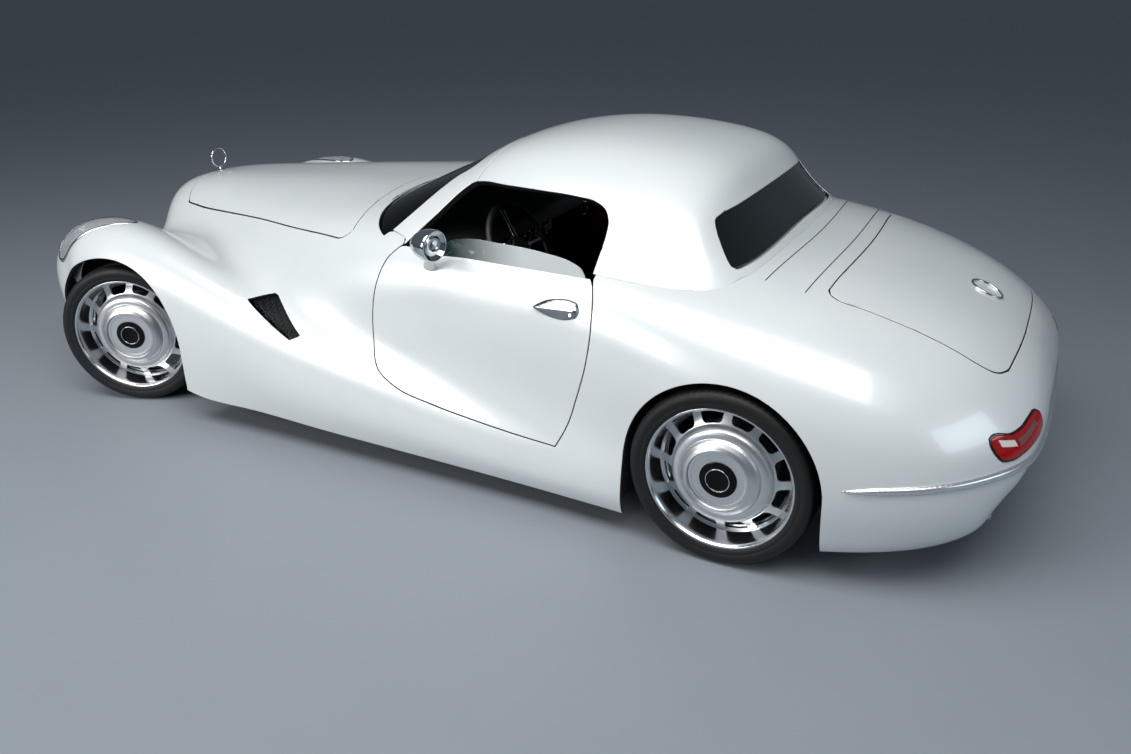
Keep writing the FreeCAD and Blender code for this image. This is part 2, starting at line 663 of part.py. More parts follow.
def with_recess(tail):
    """The tail with the flat-floored recess for a number plate."""
    half = size("plate_width") / 2
    floor = 2.21 * Y1 - SHIFT
    low = .385 * Z1
    high = low + size("plate_rise")
    wall = SKIN
    recess = cuboid(Vector(-half, floor, low), Vector(half, TAIL_TIP, high))
    pan = cuboid(Vector(-half - wall, floor - wall, low - wall),
                 Vector(half + wall, TAIL_TIP, high + wall))
    return main_solid(tail.cut(recess).fuse(pan.cut(recess).common(body_mass)))


def body_panels():
    """The skin without its openings, cut into the panels that bolt together."""
    skin = body_slab
    for side in (1, -1):
        front = arch_cut(FRONT_ARCH_Y, size("front_arch_radius"), size("front_arch_rise"), side)
        rear = arch_cut(REAR_Y, size("rear_arch_radius"), size("rear_arch_radius"), side)
        skin = skin.cut(front).cut(rear)
    skin = skin.cut([cabin_cut(), door_cut(SEAM, 1), door_cut(SEAM, -1)])
    skin = skin.cut([bonnet_cut(SEAM), boot_cut(SEAM)])
    skin = skin.cut([prism(vent_points, ALL, "x", -FAR, FAR), grille_cut(0)])
    for side in (1, -1):
        skin = skin.cut([lamp_hole(side, 0), tail_lamp_hole(side, 0)])
    front = skin.common(cuboid(Vector(-FAR, NOSE_TIP, 0), Vector(FAR, WING_END, TOP)))
    nose_zone = cuboid(Vector(-NOSE_HALF, NOSE_TIP, 0), Vector(NOSE_HALF, NOSE_END, TOP))
    scuttle_zone = cuboid(Vector(-SCUTTLE_HALF, SCUTTLE_FRONT, .8 * Z1),
                          Vector(SCUTTLE_HALF, SCUTTLE_BACK, TOP))
    wings = front.cut([nose_zone, scuttle_zone])
    rear = skin.common(cuboid(Vector(-FAR, WING_END, 0), Vector(FAR, TAIL_TIP, TOP)))
    deck_zone = cuboid(Vector(-DECK_HALF, DECK_FRONT, .5 * Z1), Vector(DECK_HALF, TAIL_LINE, TOP))
    tail_zone = cuboid(Vector(-FAR, TAIL_LINE, 0), Vector(FAR, TAIL_TIP, TOP))
    quarters = rear.cut([deck_zone, tail_zone])
    left = cuboid(Vector(0, NOSE_TIP, 0), Vector(FAR, TAIL_TIP, TOP))
    right = cuboid(Vector(-FAR, NOSE_TIP, 0), Vector(0, TAIL_TIP, TOP))
    windowed = roof_slab.cut(window_cut())
    frame = windowed.common(cuboid(Vector(-FAR, NOSE_TIP, 0),
                                   Vector(FAR, HEADER_LINE - SEAM / 2, TOP)))
    frame = main_solid(frame.cut([screen_cut(0), door_cut(SEAM, 1), door_cut(SEAM, -1),
                                  bonnet_cut(SEAM)]))
    return {
        "front_wing_left": wings.common(left),
        "front_wing_right": wings.common(right),
        "nose": front.common(nose_zone),
        "scuttle": front.common(scuttle_zone).fuse(frame),
        "quarter_left": quarters.common(left),
        "quarter_right": quarters.common(right),
        "rear_deck": rear.common(deck_zone).cut([deck_groove(spot) for spot in GROOVE_SHARES]),
        "tail_panel": with_recess(rear.common(tail_zone)),
    }


panels = {name: main_solid(shape) for name, shape in body_panels().items()}
for name, shape in panels.items():
    keep(name, shape)
keep("bonnet", main_solid(body_slab.common(bonnet_cut(0))))
keep("boot_lid", main_solid(body_slab.common(boot_cut(0))))


def hard_top():
    """The lift-off roof, resting on the body all round its foot."""
    shell = roof_slab.cut(window_cut())
    shell = shell.common(cuboid(Vector(-FAR, HEADER_LINE + SEAM / 2, 0),
                                Vector(FAR, TAIL_TIP, TOP)))
    shell = shell.cut(rear_window_cut(0))
    return main_solid(shell.cut(moved(body_mass, z=size("lid_top_gap"))))


def pane_in(opening):
    """A pane with the roof's own curve that fills an opening, let in to half its depth."""
    depth = size("roof_wall") / 2 - size("pane") / 2
    outer = inset_rows(roof_outer, ROOF_INWARDS * depth, False)
    inner = inset_rows(roof_outer, ROOF_INWARDS * (depth + size("pane")), False)
    return main_solid(slab(outer, inner).common(opening))


keep("hard_top", hard_top())
screen = pane_in(screen_cut(-size("pane_gap"))).cut(moved(body_mass, z=GAP))
screen = main_solid(screen)
keep("windscreen", screen)
rear_pane = pane_in(rear_window_cut(-size("pane_gap"))).cut(moved(body_mass, z=GAP * 2))
keep("rear_window", main_solid(rear_pane))


def door():
    """The left door: its skin reaches the shut line, its inner box stops short of it."""
    whole = body_mass.common(door_cut(0, 1))
    whole = whole.cut(moved(body_mass, x=-size("door_depth")))
    behind_skin = moved(body_mass, x=-SKIN)
    rim = door_cut(size("overrun"), 1).cut(door_cut(-size("door_step"), 1))
    top = cuboid(Vector(-FAR, NOSE_TIP, size("sill_height") * 2), Vector(FAR, TAIL_TIP, TOP))
    whole = whole.cut(rim.cut(top).common(behind_skin))
    return main_solid(whole.cut(glass_blank(size("pane_gap"))))


# The door glass: its foot in the door, its crown a low curve over the belt. y and z shares.
GLASS_LINE_SHARES = [
    (.105, .835), (.105, .885), (.16, .918), (.35, .942), (.60, .944), (.76, .925), (.822, .885),
    (.822, .835),
]

def glass_blank(gap):
    """The left door glass, or with a gap the slot that it stands in."""
    points = side_points(GLASS_LINE_SHARES)
    cut = prism(points, [0, 1, 6, 7], "x", 0, FAR, gap)
    near = moved(body_mass, x=gap - size("glass_in"), z=size("glass_lift"))
    far = moved(body_mass, x=-size("glass_in") - size("pane") - gap, z=size("glass_lift"))
    return main_solid(near.common(cut).cut(far))


def right_hand(shape):
    """The mirror image of a left-hand piece."""
    return shape.mirror(Vector(), Vector(1, 0, 0))


for label, piece in (("door_", door()), ("door_glass_", glass_blank(0))):
    keep(label + "left", piece)
    keep(label + "right", right_hand(piece))


# Wheels. The profile of the rim runs from the outer lip over the barrel to the inner lip.
def ring_profile(points):
    """A closed outline in the XY plane, turned once round the X axis."""
    corners = [Vector(x, r, 0) for x, r in points]
    face = Part.Face(Part.makePolygon(corners + corners[:1]))
    return face.revolve(Vector(0, 0, 0), Vector(1, 0, 0), 360)


# The wheel's disc from the barrel to its middle: shares of the rim radius, then depth in mm as
# shares of the hub's depth. The same points moved in by the disc's thickness close it.
DISH_SHARES = [
    (.930, 1.16), (.895, 1.15), (.812, 1.05), (.737, .90), (.681, .81), (.657, .72), (.645, .53),
    (.626, .42), (.594, .38), (.562, .39), (.543, .46), (.527, .41), (.499, .26), (.448, .13),
    (.404, .06), (.372, .06), (.238, .09),
]


def wheel_window(lip):
    """One opening of the disc: a box with rounded corners, wider towards the rim."""
    low = lip * .713
    high = lip * .899
    near = size("slot_width") / 2
    far = near * 1.22
    depth = size("hub_depth") * 2
    corner = lip * .055
    outline = [
        Vector(-depth, -near, low + corner), Vector(-depth, -near + corner, low),
        Vector(-depth, near - corner, low), Vector(-depth, near, low + corner),
        Vector(-depth, far, high - corner), Vector(-depth, far - corner, high),
        Vector(-depth, -far + corner, high), Vector(-depth, -far, high - corner)]
    face = Part.Face(Part.makePolygon(outline + outline[:1]))
    return face.extrude(Vector(depth, 0, 0))


def wheel_shape():
    """A wheel with its outer face at X = 0 and its inside towards -X."""
    width = size("rim_width")
    lip = size("rim_radius")
    wall = size("rim_wall")
    bead = size("bead_radius")
    well = bead - size("rim_drop")
    depth = size("hub_depth")
    hub = size("hub_radius")
    disc = size("dish_thickness")
    stub = size("stub_radius") + size("stub_play")
    barrel = ring_profile([
        (0, lip), (-wall, lip), (-wall * 2, bead), (-width * .44, bead), (-width * .52, well),
        (-width * .70, well), (-width * .78, bead), (-width + wall * 2, bead),
        (-width + wall, lip), (-width, lip), (-width, lip - wall * 2),
        (-width + wall, bead - wall), (-width * .80, bead - wall), (-width * .72, well - wall),
        (-width * .50, well - wall), (-width * .42, bead - wall), (-wall * 2, bead - wall * 1.5),
        (0, lip - wall * 2)])
    outside = [(-share * depth, radius * lip) for radius, share in DISH_SHARES]
    inside = [(x - disc, radius) for x, radius in reversed(outside[:-1])]
    face = ring_profile(outside + [(-wall, hub * .4), (-wall, 0), (-wall - disc, 0),
                                   (-wall - disc, hub * .4)] + inside)
    boss = ring_profile([(-wall - disc / 2, hub), (-wall - disc / 2, 0), (-depth * .7, 0),
                         (-depth * .7, stub), (-depth, stub), (-depth, hub)])
    windows = []
    count = int(size("slot_count"))
    window = wheel_window(lip)
    for number in range(count):
        copy = window.copy()
        copy.rotate(Vector(0, 0, 0), Vector(1, 0, 0), 360 * number / count)
        windows.append(copy)
    return barrel.fuse([face.cut(windows), boss]).removeSplitter()


def brake_shape():
    depth = size("hub_depth") + size("disc_inset")
    stub = size("stub_radius") + size("stub_play")
    thick = size("disc_thickness")
    hub = size("hub_radius")
    return ring_profile([
        (-size("hub_depth"), stub), (-size("hub_depth"), hub), (-depth, hub),
        (-depth, size("disc_radius")), (-depth - thick, size("disc_radius")),
        (-depth - thick, hub - thick), (-depth - thick, stub)])


def tyre_shape():
    """A low tyre seated round the rim."""
    radius = size("tyre_radius")
    half = size("tyre_width") / 2
    bead = size("bead_radius") + GAP
    middle = -size("rim_width") / 2
    wall = size("rim_wall")
    shoulder = (radius - bead) * .28
    face = wall * 2 + GAP
    groove = size("tread_groove")
    outline = [
        (-face - GAP, bead), (-face * .9, bead + shoulder * .6), (middle + half * .97, radius * .87),
        (middle + half, radius * .905), (middle + half * .96, radius - shoulder),
        (middle + half * .80, radius - shoulder * .22), (middle + half * .55, radius),
    ]
    for share in (.50, .16):
        mid = middle + half * share
        outline += [(mid + groove / 2, radius), (mid + groove / 2, radius - groove),
                    (mid - groove / 2, radius - groove), (mid - groove / 2, radius)]
    other = [(2 * middle - x, r) for x, r in reversed(outline)]
    return ring_profile(outline + other)


def wheel_place(side, front):
    """Where a wheel stands; the wheel's own X points out of the car."""
    y = FRONT_Y if front else REAR_Y
    turn = Rotation() if side > 0 else Rotation(Vector(0, 0, 1), 180)
    face = size("rim_face_front") if front else size("rim_face_rear")
    place = Placement(Vector(side * face, y, size("tyre_radius")), turn)
    if front:
        pin = Vector(side * size("king_pin_out"), y, 0)
        steer = Rotation(Vector(0, 0, 1), size("steer_rest"))
        return Placement(pin - steer.multVec(pin), steer) * place
    return place


wheel = wheel_shape().fuse(brake_shape()).removeSplitter()
tyre = tyre_shape()
for front, end in ((True, "front"), (False, "rear")):
    for side, name in ((1, "left"), (-1, "right")):
        place = wheel_place(side, front)
        keep("wheel_%s_%s" % (end, name), wheel, place)
        keep("tyre_%s_%s" % (end, name), tyre, place)


def knuckle_shape():
    """An upright with its stub axle and brake caliper, the wheel's outer face at X = 0."""
    pin = size("rim_face_front") - size("king_pin_out")
    half = size("upright_width") / 2
    low = size("lower_arm_height") + size("arm_thickness") + GAP - size("tyre_radius")
    high = size("upper_arm_height") - GAP - size("tyre_radius")
    upright = cuboid(Vector(-pin - half, -half * 2, low), Vector(-pin + half, half * 2, high))
    reach = pin - size("hub_depth") * .7 - GAP
    stub = Part.makeCylinder(size("stub_radius"), reach, Vector(-pin, 0, 0), Vector(1, 0, 0))
    disc_out = -size("hub_depth") - size("disc_inset")
    disc_in = disc_out - size("disc_thickness")
    pad = size("caliper_pad")
    edge = size("disc_radius")
    caliper = cuboid(Vector(disc_in - pad, edge * .52, -edge * .42),
                     Vector(disc_out + pad, edge * 1.10, edge * .42))
    disc_room = Part.makeCylinder(edge + GAP * 10, disc_out - disc_in + GAP * 20,
                                  Vector(disc_in - GAP * 10, 0, 0), Vector(1, 0, 0))
    bracket = cuboid(Vector(-pin - half, half, -edge * .3),
                     Vector(disc_in - GAP * 10, edge * .7, edge * .3))
    round_off = Part.makeCylinder(edge * 1.16, 2 * FAR, Vector(-FAR, 0, 0), Vector(1, 0, 0))
    caliper = caliper.cut(disc_room).common(round_off)
    return Part.makeCompound([upright.fuse([stub, bracket, caliper])]).Solids[0]


knuckle = knuckle_shape()
for side, name in ((1, "left"), (-1, "right")):
    keep("knuckle_" + name, knuckle, wheel_place(side, True))


def arm(root_x, pin_x, y, height, root_half, side):
    """A wishbone: wide at the chassis, narrow where it carries the upright."""
    tip_half = size("upright_width") / 2
    neck = root_x + (pin_x - root_x) * .62
    points = [(root_x, y - root_half), (neck, y - tip_half), (pin_x + tip_half, y - tip_half),
              (pin_x + tip_half, y + tip_half), (neck, y + tip_half), (root_x, y + root_half)]
    flat = [Vector(side * px, py, height) for px, py in points]
    face = Part.Face(Part.makePolygon(flat + flat[:1]))
    return face.extrude(Vector(0, 0, size("arm_thickness")))


def front_corner(side):
    """Both wishbones of a front wheel and the tower that joins them to the rail."""
    root = size("front_rail_out") + GAP
    pin = size("king_pin_out")
    low = arm(root, pin, FRONT_Y, size("lower_arm_height"), size("arm_root"), side)
    high = arm(root, pin, FRONT_Y, size("upper_arm_height"), size("arm_root") * .7, side)
    tower = cuboid(
        Vector(root, FRONT_Y - size("arm_root") * .7, size("lower_arm_height")),
        Vector(root + size("tower_thickness"), FRONT_Y + size("arm_root") * .7,
               size("upper_arm_height") + size("arm_thickness")))
    if side < 0:
        tower = tower.mirror(Vector(0, 0, 0), Vector(1, 0, 0))
    return tower.fuse([low, high])


def rear_axle():
    """The rear uprights, wishbones, drive shafts and final drive, all fixed to the rails."""
    pieces = []
    offset = size("rim_face_rear") - size("rim_face_front")
    for side in (1, -1):
        upright = knuckle.copy()
        upright.Placement = wheel_place(side, False)
        pieces.append(upright)
        root = size("rear_rail_out") + GAP
        pin = size("king_pin_out") + offset
        for height in ("lower_arm_height", "upper_arm_height"):
            link = arm(root, pin, REAR_Y, size(height), size("arm_root"), side)
            pieces.append(moved(link, z=GAP if height == "lower_arm_height" else -GAP))
        shaft = Part.makeCylinder(size("shaft_radius"), pin, Vector(0, REAR_Y, size("tyre_radius")),
                                  Vector(side, 0, 0))
        pieces.append(shaft)
    half = size("final_drive") / 2
    top = size("rear_rail_low") + size("rail_height") / 2 - GAP
    case = cuboid(Vector(-half, REAR_Y - half, size("tyre_radius") - half),
                  Vector(half, REAR_Y + half, top))
    return case.fuse(pieces)


keep("suspension", Part.makeCompound([front_corner(1), front_corner(-1), rear_axle()]))


# The frame: a floor plate, two rails at each end and the cross members between them.
def chassis_shape():
    thick = size("rail_height")
    plate_low = size("floor_height") - GAP - size("floor_plate")
    plate_top = size("floor_height") - GAP
    half = size("plate_half")
    front = -.88 * Y1 - SHIFT
    back = 1.00 * Y1 - SHIFT
    nose = -1.82 * Y1 - SHIFT
    tail = 2.08 * Y1 - SHIFT
    rail = size("front_rail_low")
    rear_rail = size("rear_rail_low")
    width = size("rail_width")
    out = size("front_rail_out")
    rear_out = size("rear_rail_out")
    kick = TUB_LOW_BACK + GAP
    pieces = []
    for side in (1, -1):
        pieces.append(sided(side, out - width, nose, rail, out, front, rail + thick))
        pieces.append(sided(side, out - width, front - width, plate_low, out, front + width,
                            rail + thick))
        pieces.append(sided(side, rear_out - width, kick, rear_rail, rear_out, tail,
                            rear_rail + thick))
        pieces.append(sided(side, rear_out - width, kick, plate_low, rear_out, kick + width,
                            rear_rail + thick))
        sill = sided(side, half + GAP, front, plate_low, FAR, back,
                     size("floor_height") + size("sill_lip"))
        sill = sill.fuse(sided(side, half - width, front, plate_low, half + width, back, plate_top))
        pieces.append(sill.common(inner_mass))
    pieces.append(cuboid(Vector(-out, nose, rail), Vector(out, nose + width, rail + thick)))
    pieces.append(cuboid(Vector(-out, ENGINE_MID - width / 2, rail),
                         Vector(out, ENGINE_MID + width / 2, ENGINE_LOW - GAP)))
    pieces.append(cuboid(Vector(-rear_out, tail - width, rear_rail),
                         Vector(rear_out, tail, rear_rail + thick)))
    pieces.append(cuboid(Vector(-rear_out, back - width, plate_low),
                         Vector(rear_out, kick + width, plate_top)))
    pieces.append(cuboid(Vector(-rear_out, REAR_Y - width, rear_rail + thick * .5),
                         Vector(rear_out, REAR_Y + width, rear_rail + thick)))
    pad_half = size("jack_pad") / 2
    for side in (1, -1):
        for place in (1, -1):
            middle = place * size("jack_spread")
            pieces.append(sided(side, size("jack_out") - pad_half, middle - pad_half,
                                plate_low - size("jack_drop"), size("jack_out") + pad_half,
                                middle + pad_half, plate_top))
    plate = cuboid(Vector(-half, front, plate_low), Vector(half, back, plate_top))
    shaft_room = Part.makeCylinder(size("shaft_radius") * 2, 2 * FAR,
                                   Vector(-FAR, REAR_Y, size("tyre_radius")), Vector(1, 0, 0))
    return main_solid(plate.fuse(pieces).removeSplitter().cut(shaft_room))


ENGINE_LOW = size("front_rail_low") + size("rail_height") * .6
ENGINE_MID = -.90 * Y1 - SHIFT
keep("chassis", chassis_shape())
engine = block("engine", ("Sizes.engine_width", "Sizes.engine_length", "Sizes.engine_height"),
               ("-Sizes.engine_width / 2",
                "-Sizes.body_shift - Sizes.body_y_unit * 0.9 - Sizes.engine_length / 2",
                "Sizes.front_rail_low + Sizes.rail_height * 0.6"))
engine.Label = "engine"
nodes.append(engine)


def cabin_tub():
    """The cabin's floor, bulkheads, sills, shelf and tunnel as one open box."""
    wall = size("tub_wall")
    half = size("tub_half")
    low = size("floor_height")
    front = -.30 * Y1 - SHIFT
    sill = size("sill_height")
    shelf = size("shelf_height")
    plate = size("plate_half")
    outside = cuboid(Vector(-FAR, front, low), Vector(FAR, TUB_BACK, TOP)).common(inner_mass)
    for side in (1, -1):
        outside = outside.common(moved(body_mass, x=side * (size("door_depth") + GAP)))
    inside = cuboid(Vector(-half, front + wall, low + wall), Vector(half, TUB_LOW_BACK - wall, TOP))
    above_shelf = cuboid(Vector(-half, front + wall, shelf), Vector(half, TUB_BACK - wall, TOP))
    under_shelf = cuboid(Vector(-FAR, TUB_LOW_BACK, 0), Vector(FAR, FAR + TUB_BACK, shelf - wall))
    doorway = cuboid(Vector(-FAR, front + wall, sill), Vector(FAR, .90 * Y1 - SHIFT, TOP))
    lid = cuboid(Vector(-FAR, front - wall, .80 * Z1), Vector(FAR, TUB_BACK + wall, TOP))
    cuts = [inside, above_shelf, under_shelf, doorway, lid]
    for side in (1, -1):
        cuts.append(sided(side, half, front - wall, sill - wall, FAR, .065 * Y1 - SHIFT, TOP))
        cuts.append(sided(side, plate, front - wall, 0, FAR, TUB_BACK + wall,
                          low + size("sill_lip") + GAP))
    shell = outside.cut(cuts)
    tunnel = cuboid(Vector(-size("tunnel_half"), front + wall, low + wall),
                    Vector(size("tunnel_half"), TUB_LOW_BACK - wall, size("tunnel_height")))
    return main_solid(shell.fuse(tunnel).removeSplitter())


keep("cabin_tub", cabin_tub())

# Side outlines of the dashboard and of a seat: y and z shares.
DASH_SIDE_SHARES = [
    (-.270, .55), (-.270, .87), (-.12, .89), (.10, .865), (.20, .845), (.235, .80), (.20, .70),
    (.10, .58), (0, .55),
]
SEAT_SIDE_SHARES = [
    (.38, .1553), (.35, .34), (.40, .40), (.57, .385), (.76, .37), (.88, .70), (.945, .95),
    (.99, .96), (1.01, .88), (.97, .60), (.90, .30), (.87, .1553),
]


HELM = Vector(size("seat_out"), .335 * Y1 - SHIFT, .80 * Z1)
HELM_TURN = Rotation(Vector(1, 0, 0), -size("helm_tilt"))
HELM_BACK = -size("helm_grip") * 2.4


def steering_column():
    """The fixed column: it ends square, just short of the steering wheel's hub."""
    column = Part.makeCylinder(size("helm_grip") * 1.6, size("helm_radius"),
                               Vector(0, 0, HELM_BACK - GAP), Vector(0, 0, -1))
    column.Placement = Placement(HELM, HELM_TURN).multiply(column.Placement)
    return column


def dashboard():
    points = side_points(DASH_SIDE_SHARES)
    half = size("dash_half")
    body = prism(points, [0, 1, 5, 8], "x", -half, half)
    for side in (1, -1):
        body = body.common(moved(body_mass, x=side * (size("door_depth") + SKIN * 2)))
    body = body.common(moved(inner_mass, z=-SKIN))
    for shape in (panels["scuttle"], screen):
        body = main_solid(body.cut([shape, moved(shape, z=-GAP)]))
    return main_solid(body.fuse(steering_column()))


keep("dashboard", dashboard())


def seats():
    pair = []
    points = side_points(SEAT_SIDE_SHARES)
    half = size("seat_width") / 2
    for side in (1, -1):
        middle = side * size("seat_out")
        pair.append(prism(points, [0, 1, 4, 11], "x", middle - half, middle + half))
    return Part.makeCompound(pair)


keep("seats", seats())


def steering_wheel():
    """Rim, three spokes and hub."""
    grip = size("helm_grip")
    ring = Part.makeTorus(size("helm_radius"), grip)
    hub = Part.makeCylinder(grip * 2.6, grip * 3, Vector(0, 0, HELM_BACK))
    spokes = []
    for angle in (0, 180, 270):
        spoke = Part.makeBox(size("helm_radius"), grip * 2, grip * .8,
                             Vector(0, -grip, -grip * .4))
        spoke.rotate(Vector(0, 0, 0), Vector(0, 0, 1), angle)
        spokes.append(spoke)
    whole = ring.fuse([hub] + spokes)
    whole.Placement = Placement(HELM, HELM_TURN)
    return main_solid(whole)


keep("steering_wheel", steering_wheel())


def arch_liner(centre_y, radius, wall_x):
    """A thin half drum over a wheel with its inner wall, under the skin."""
    sheet_metal = size("liner")
    axle = size("tyre_radius")
    foot = size("liner_foot")
    outer = Part.makeCylinder(radius + sheet_metal, FAR, Vector(wall_x - sheet_metal, centre_y, axle),
                              Vector(1, 0, 0))
    outer = outer.fuse(cuboid(Vector(wall_x - sheet_metal, centre_y - radius - sheet_metal, foot),
                              Vector(wall_x - sheet_metal + FAR, centre_y + radius + sheet_metal, axle)))
    room = Part.makeCylinder(radius, FAR, Vector(wall_x, centre_y, axle), Vector(1, 0, 0))
    room = room.fuse(cuboid(Vector(wall_x, centre_y - radius, 0),
                            Vector(wall_x + FAR, centre_y + radius, axle)))
    below = cuboid(Vector(0, centre_y - FAR, -FAR), Vector(2 * FAR, centre_y + FAR, foot))
    window = cuboid(Vector(0, centre_y - radius * .62, 0),
                    Vector(wall_x + sheet_metal, centre_y + radius * .62,
                           size("upper_arm_height") + size("arm_thickness") * 2))
    shell = outer.cut([room, below, window]).common(inner_mass)
    return main_solid(shell)


def arch_liners():
    solids = []
    front = arch_liner(FRONT_ARCH_Y, size("front_arch_radius"), size("front_liner_in"))
    rear = arch_liner(REAR_Y, size("rear_arch_radius"), size("rear_liner_in"))
    for shape in (front, rear):
        solids.append(shape)
        solids.append(shape.mirror(Vector(0, 0, 0), Vector(1, 0, 0)))
    return Part.makeCompound(solids)


keep("arch_liners", arch_liners())


def boot_tub():
    half = size("boot_half")
    wall = size("liner")
    front = 1.54 * Y1 - SHIFT
    back = 2.14 * Y1 - SHIFT
    low = size("rear_rail_low") + size("rail_height") + GAP
    outside = cuboid(Vector(-half - wall, front - wall, low), Vector(half + wall, back + wall, TOP))
    inside = cuboid(Vector(-half, front, low + wall), Vector(half, back, TOP))
    return main_solid(outside.cut(inside).common(inner_mass))


keep("boot_tub", boot_tub())


def exhaust():
    z = size("tip_height")
    radius = size("tip_radius")
    start = TUB_LOW_BACK + GAP
    box_front = 1.74 * Y1 - SHIFT
    box_back = 1.98 * Y1 - SHIFT
    tip_end = 2.17 * Y1 - SHIFT
    wide = size("tip_out") + radius
    silencer = cuboid(Vector(-wide, box_front, z - radius * 1.2), Vector(wide, box_back, z + radius * 1.6))
    pieces = []
    bores = []
    for side in (1, -1):
        out = side * size("tip_out")
        pieces.append(Part.makeCylinder(radius, tip_end - box_back, Vector(out, box_back, z),
                                        Vector(0, 1, 0)))
        bores.append(Part.makeCylinder(radius - size("tip_wall"), tip_end - box_back,
                                       Vector(out, box_back + radius, z), Vector(0, 1, 0)))
        pieces.append(Part.makeCylinder(radius * .7, box_front - start,
                                        Vector(side * size("pipe_out"), start, z), Vector(0, 1, 0)))
    return silencer.fuse(pieces).cut(bores)


keep("exhaust", exhaust())


def outside_layer(low, high):
    """The space between two depths outside the skin."""
    return slab(inset_rows(outer_rows, -INWARDS * high, False),
                inset_rows(outer_rows, -INWARDS * low, False))


TRIM_LAYER = outside_layer(GAP, size("trim_depth"))
BUMPER_SIDE_SHARES = [(1.77, .368), (2.05, .392), (2.42, .47), (2.42, .385), (2.05, .352)]
keep("bumper", Part.makeCompound(TRIM_LAYER.common(
    prism(side_points(BUMPER_SIDE_SHARES), [0, 2, 3], "x", -FAR, FAR)).Solids))

HANDLE_SHARES = [(.635, .762), (.70, .790), (.76, .797), (.825, .785), (.825, .768), (.76, .755),
                 (.70, .752)]


MIRROR_STRETCH = (1.0, 1.5, .92)


def door_fittings(side):
    """The mirror on its foot and the leaf-shaped handle."""
    low, high = (0, FAR) if side > 0 else (-FAR, 0)
    leaf = TRIM_LAYER.common(prism(side_points(HANDLE_SHARES), [0, 3, 4], "x", low, high))
    radius = size("mirror_radius")
    head = Part.makeSphere(radius)
    ahead = cuboid(Vector(-radius * 2, -radius * 2, -radius * 2),
                   Vector(radius * 2, 0, radius * 2))
    back = Part.makeCylinder(radius * .93, size("mirror_rim"), Vector(0, 0, 0), Vector(0, 1, 0))
    head = head.common(ahead).fuse(back)
    stretch = FreeCAD.Matrix()
    stretch.scale(*MIRROR_STRETCH)
    head = head.transformGeometry(stretch)
    head.rotate(Vector(0, 0, 0), Vector(0, 0, 1), side * size("mirror_turn"))
    middle = Vector(side * .865 * X1, .275 * Y1 - SHIFT, .934 * Z1)
    head.translate(middle)
    foot = Vector(side * .785 * X1, .195 * Y1 - SHIFT, .80 * Z1)
    stem = Part.makeCylinder(size("mirror_stem"), (middle - foot).Length, foot, middle - foot)
    stem = stem.cut(moved(body_mass, x=side * GAP, z=GAP))
    return Part.makeCompound([head.fuse(main_solid(stem)), main_solid(leaf)])


for side, name in ((1, "left"), (-1, "right")):
    keep("door_fittings_" + name, door_fittings(side))


def crest_spot(y):
    """The skin's point and outward direction on the centre line at a distance along the car."""
    surface = spline_surface(outer_rows)
    low, high = 0.0, 1.0
    while high - low > 1e-9:
        middle = (low + high) / 2
        if surface.value(middle, 0.5).y < y:
            low = middle
        else:
            high = middle
    return surface.value(low, 0.5), surface.normal(low, 0.5) * -INWARDS


def mascot():
    """A plain ring on a stem, whose foot stands square on the nose."""
    spot, out = crest_spot(-1.655 * Y1 - SHIFT)
    foot = spot + out * GAP
    radius = size("mascot_ring")
    wire = size("mascot_wire")
    middle = Vector(0, foot.y, .925 * Z1)
    ring = Part.makeTorus(radius, wire, middle, Vector(0, 1, 0))
    rise = size("mascot_foot")
    plinth = Part.makeCone(radius * .9, wire * 1.4, rise, foot, out)
    stem = Part.makeCylinder(wire, middle.z - radius - foot.z - rise / 2,
                             foot + Vector(0, 0, rise / 2))
    return ring.fuse([stem, plinth])


keep("mascot", mascot())


def grille():
    """The upright bars of the nose and the surround that holds them."""
    deep = under_skin(-size("grille_stand"), size("grille_depth"))
    surround = deep.common(grille_cut(-GAP).cut(grille_cut(-size("grille_rim"))))
    room = under_skin(size("grille_stand"), size("grille_depth") * .8).common(
        grille_cut(-size("grille_rim") / 2))
    bars = []
    count = int(size("bar_count"))
    pitch = 2 * .185 * X1 / (count + 1)
    for number in range(count):
        middle = (number - (count - 1) / 2) * pitch
        bars.append(cuboid(Vector(middle - size("bar_width") / 2, NOSE_TIP, .3 * Z1),
                           Vector(middle + size("bar_width") / 2, NOSE_END, .9 * Z1)))
    return main_solid(surround.fuse(room.common(Part.makeCompound(bars))))


keep("grille", grille())
LAMP_LAYER = under_skin(0, size("lamp_depth"))
keep("headlamps", Part.makeCompound(
    [main_solid(LAMP_LAYER.common(lamp_hole(side, -GAP))) for side in (1, -1)]))
keep("tail_lamps", Part.makeCompound(
    [main_solid(LAMP_LAYER.common(tail_lamp_hole(side, -GAP))) for side in (1, -1)]))
vents = under_skin(size("vent_recess"), size("vent_recess") + size("vent_sheet")).common(
    prism(vent_points, ALL, "x", -FAR, FAR, -GAP))
keep("side_vents", Part.makeCompound(vents.Solids))


doc.recompute()
for feature in doc.Objects:
    if "Invalid" in feature.State or "Error" in feature.State:
        raise SystemExit("%s failed: %s" % (feature.Name, feature.State))
for feature in nodes:
    shape = feature.Shape
    if shape.isNull() or not shape.isValid():
        raise SystemExit("%s has no valid shape" % feature.Label)

os.makedirs("parts", exist_ok=True)
for feature in nodes:
    feature.Shape.exportStep(os.path.join("parts", feature.Label + ".step"))
    box = feature.Shape.BoundBox
    print("%-20s solids %d  volume %.1f l  x %.0f..%.0f  y %.0f..%.0f  z %.0f..%.0f" % (
        feature.Label, len(feature.Shape.Solids), feature.Shape.Volume / 1e6, box.XMin, box.XMax,
        box.YMin, box.YMax, box.ZMin, box.ZMax))
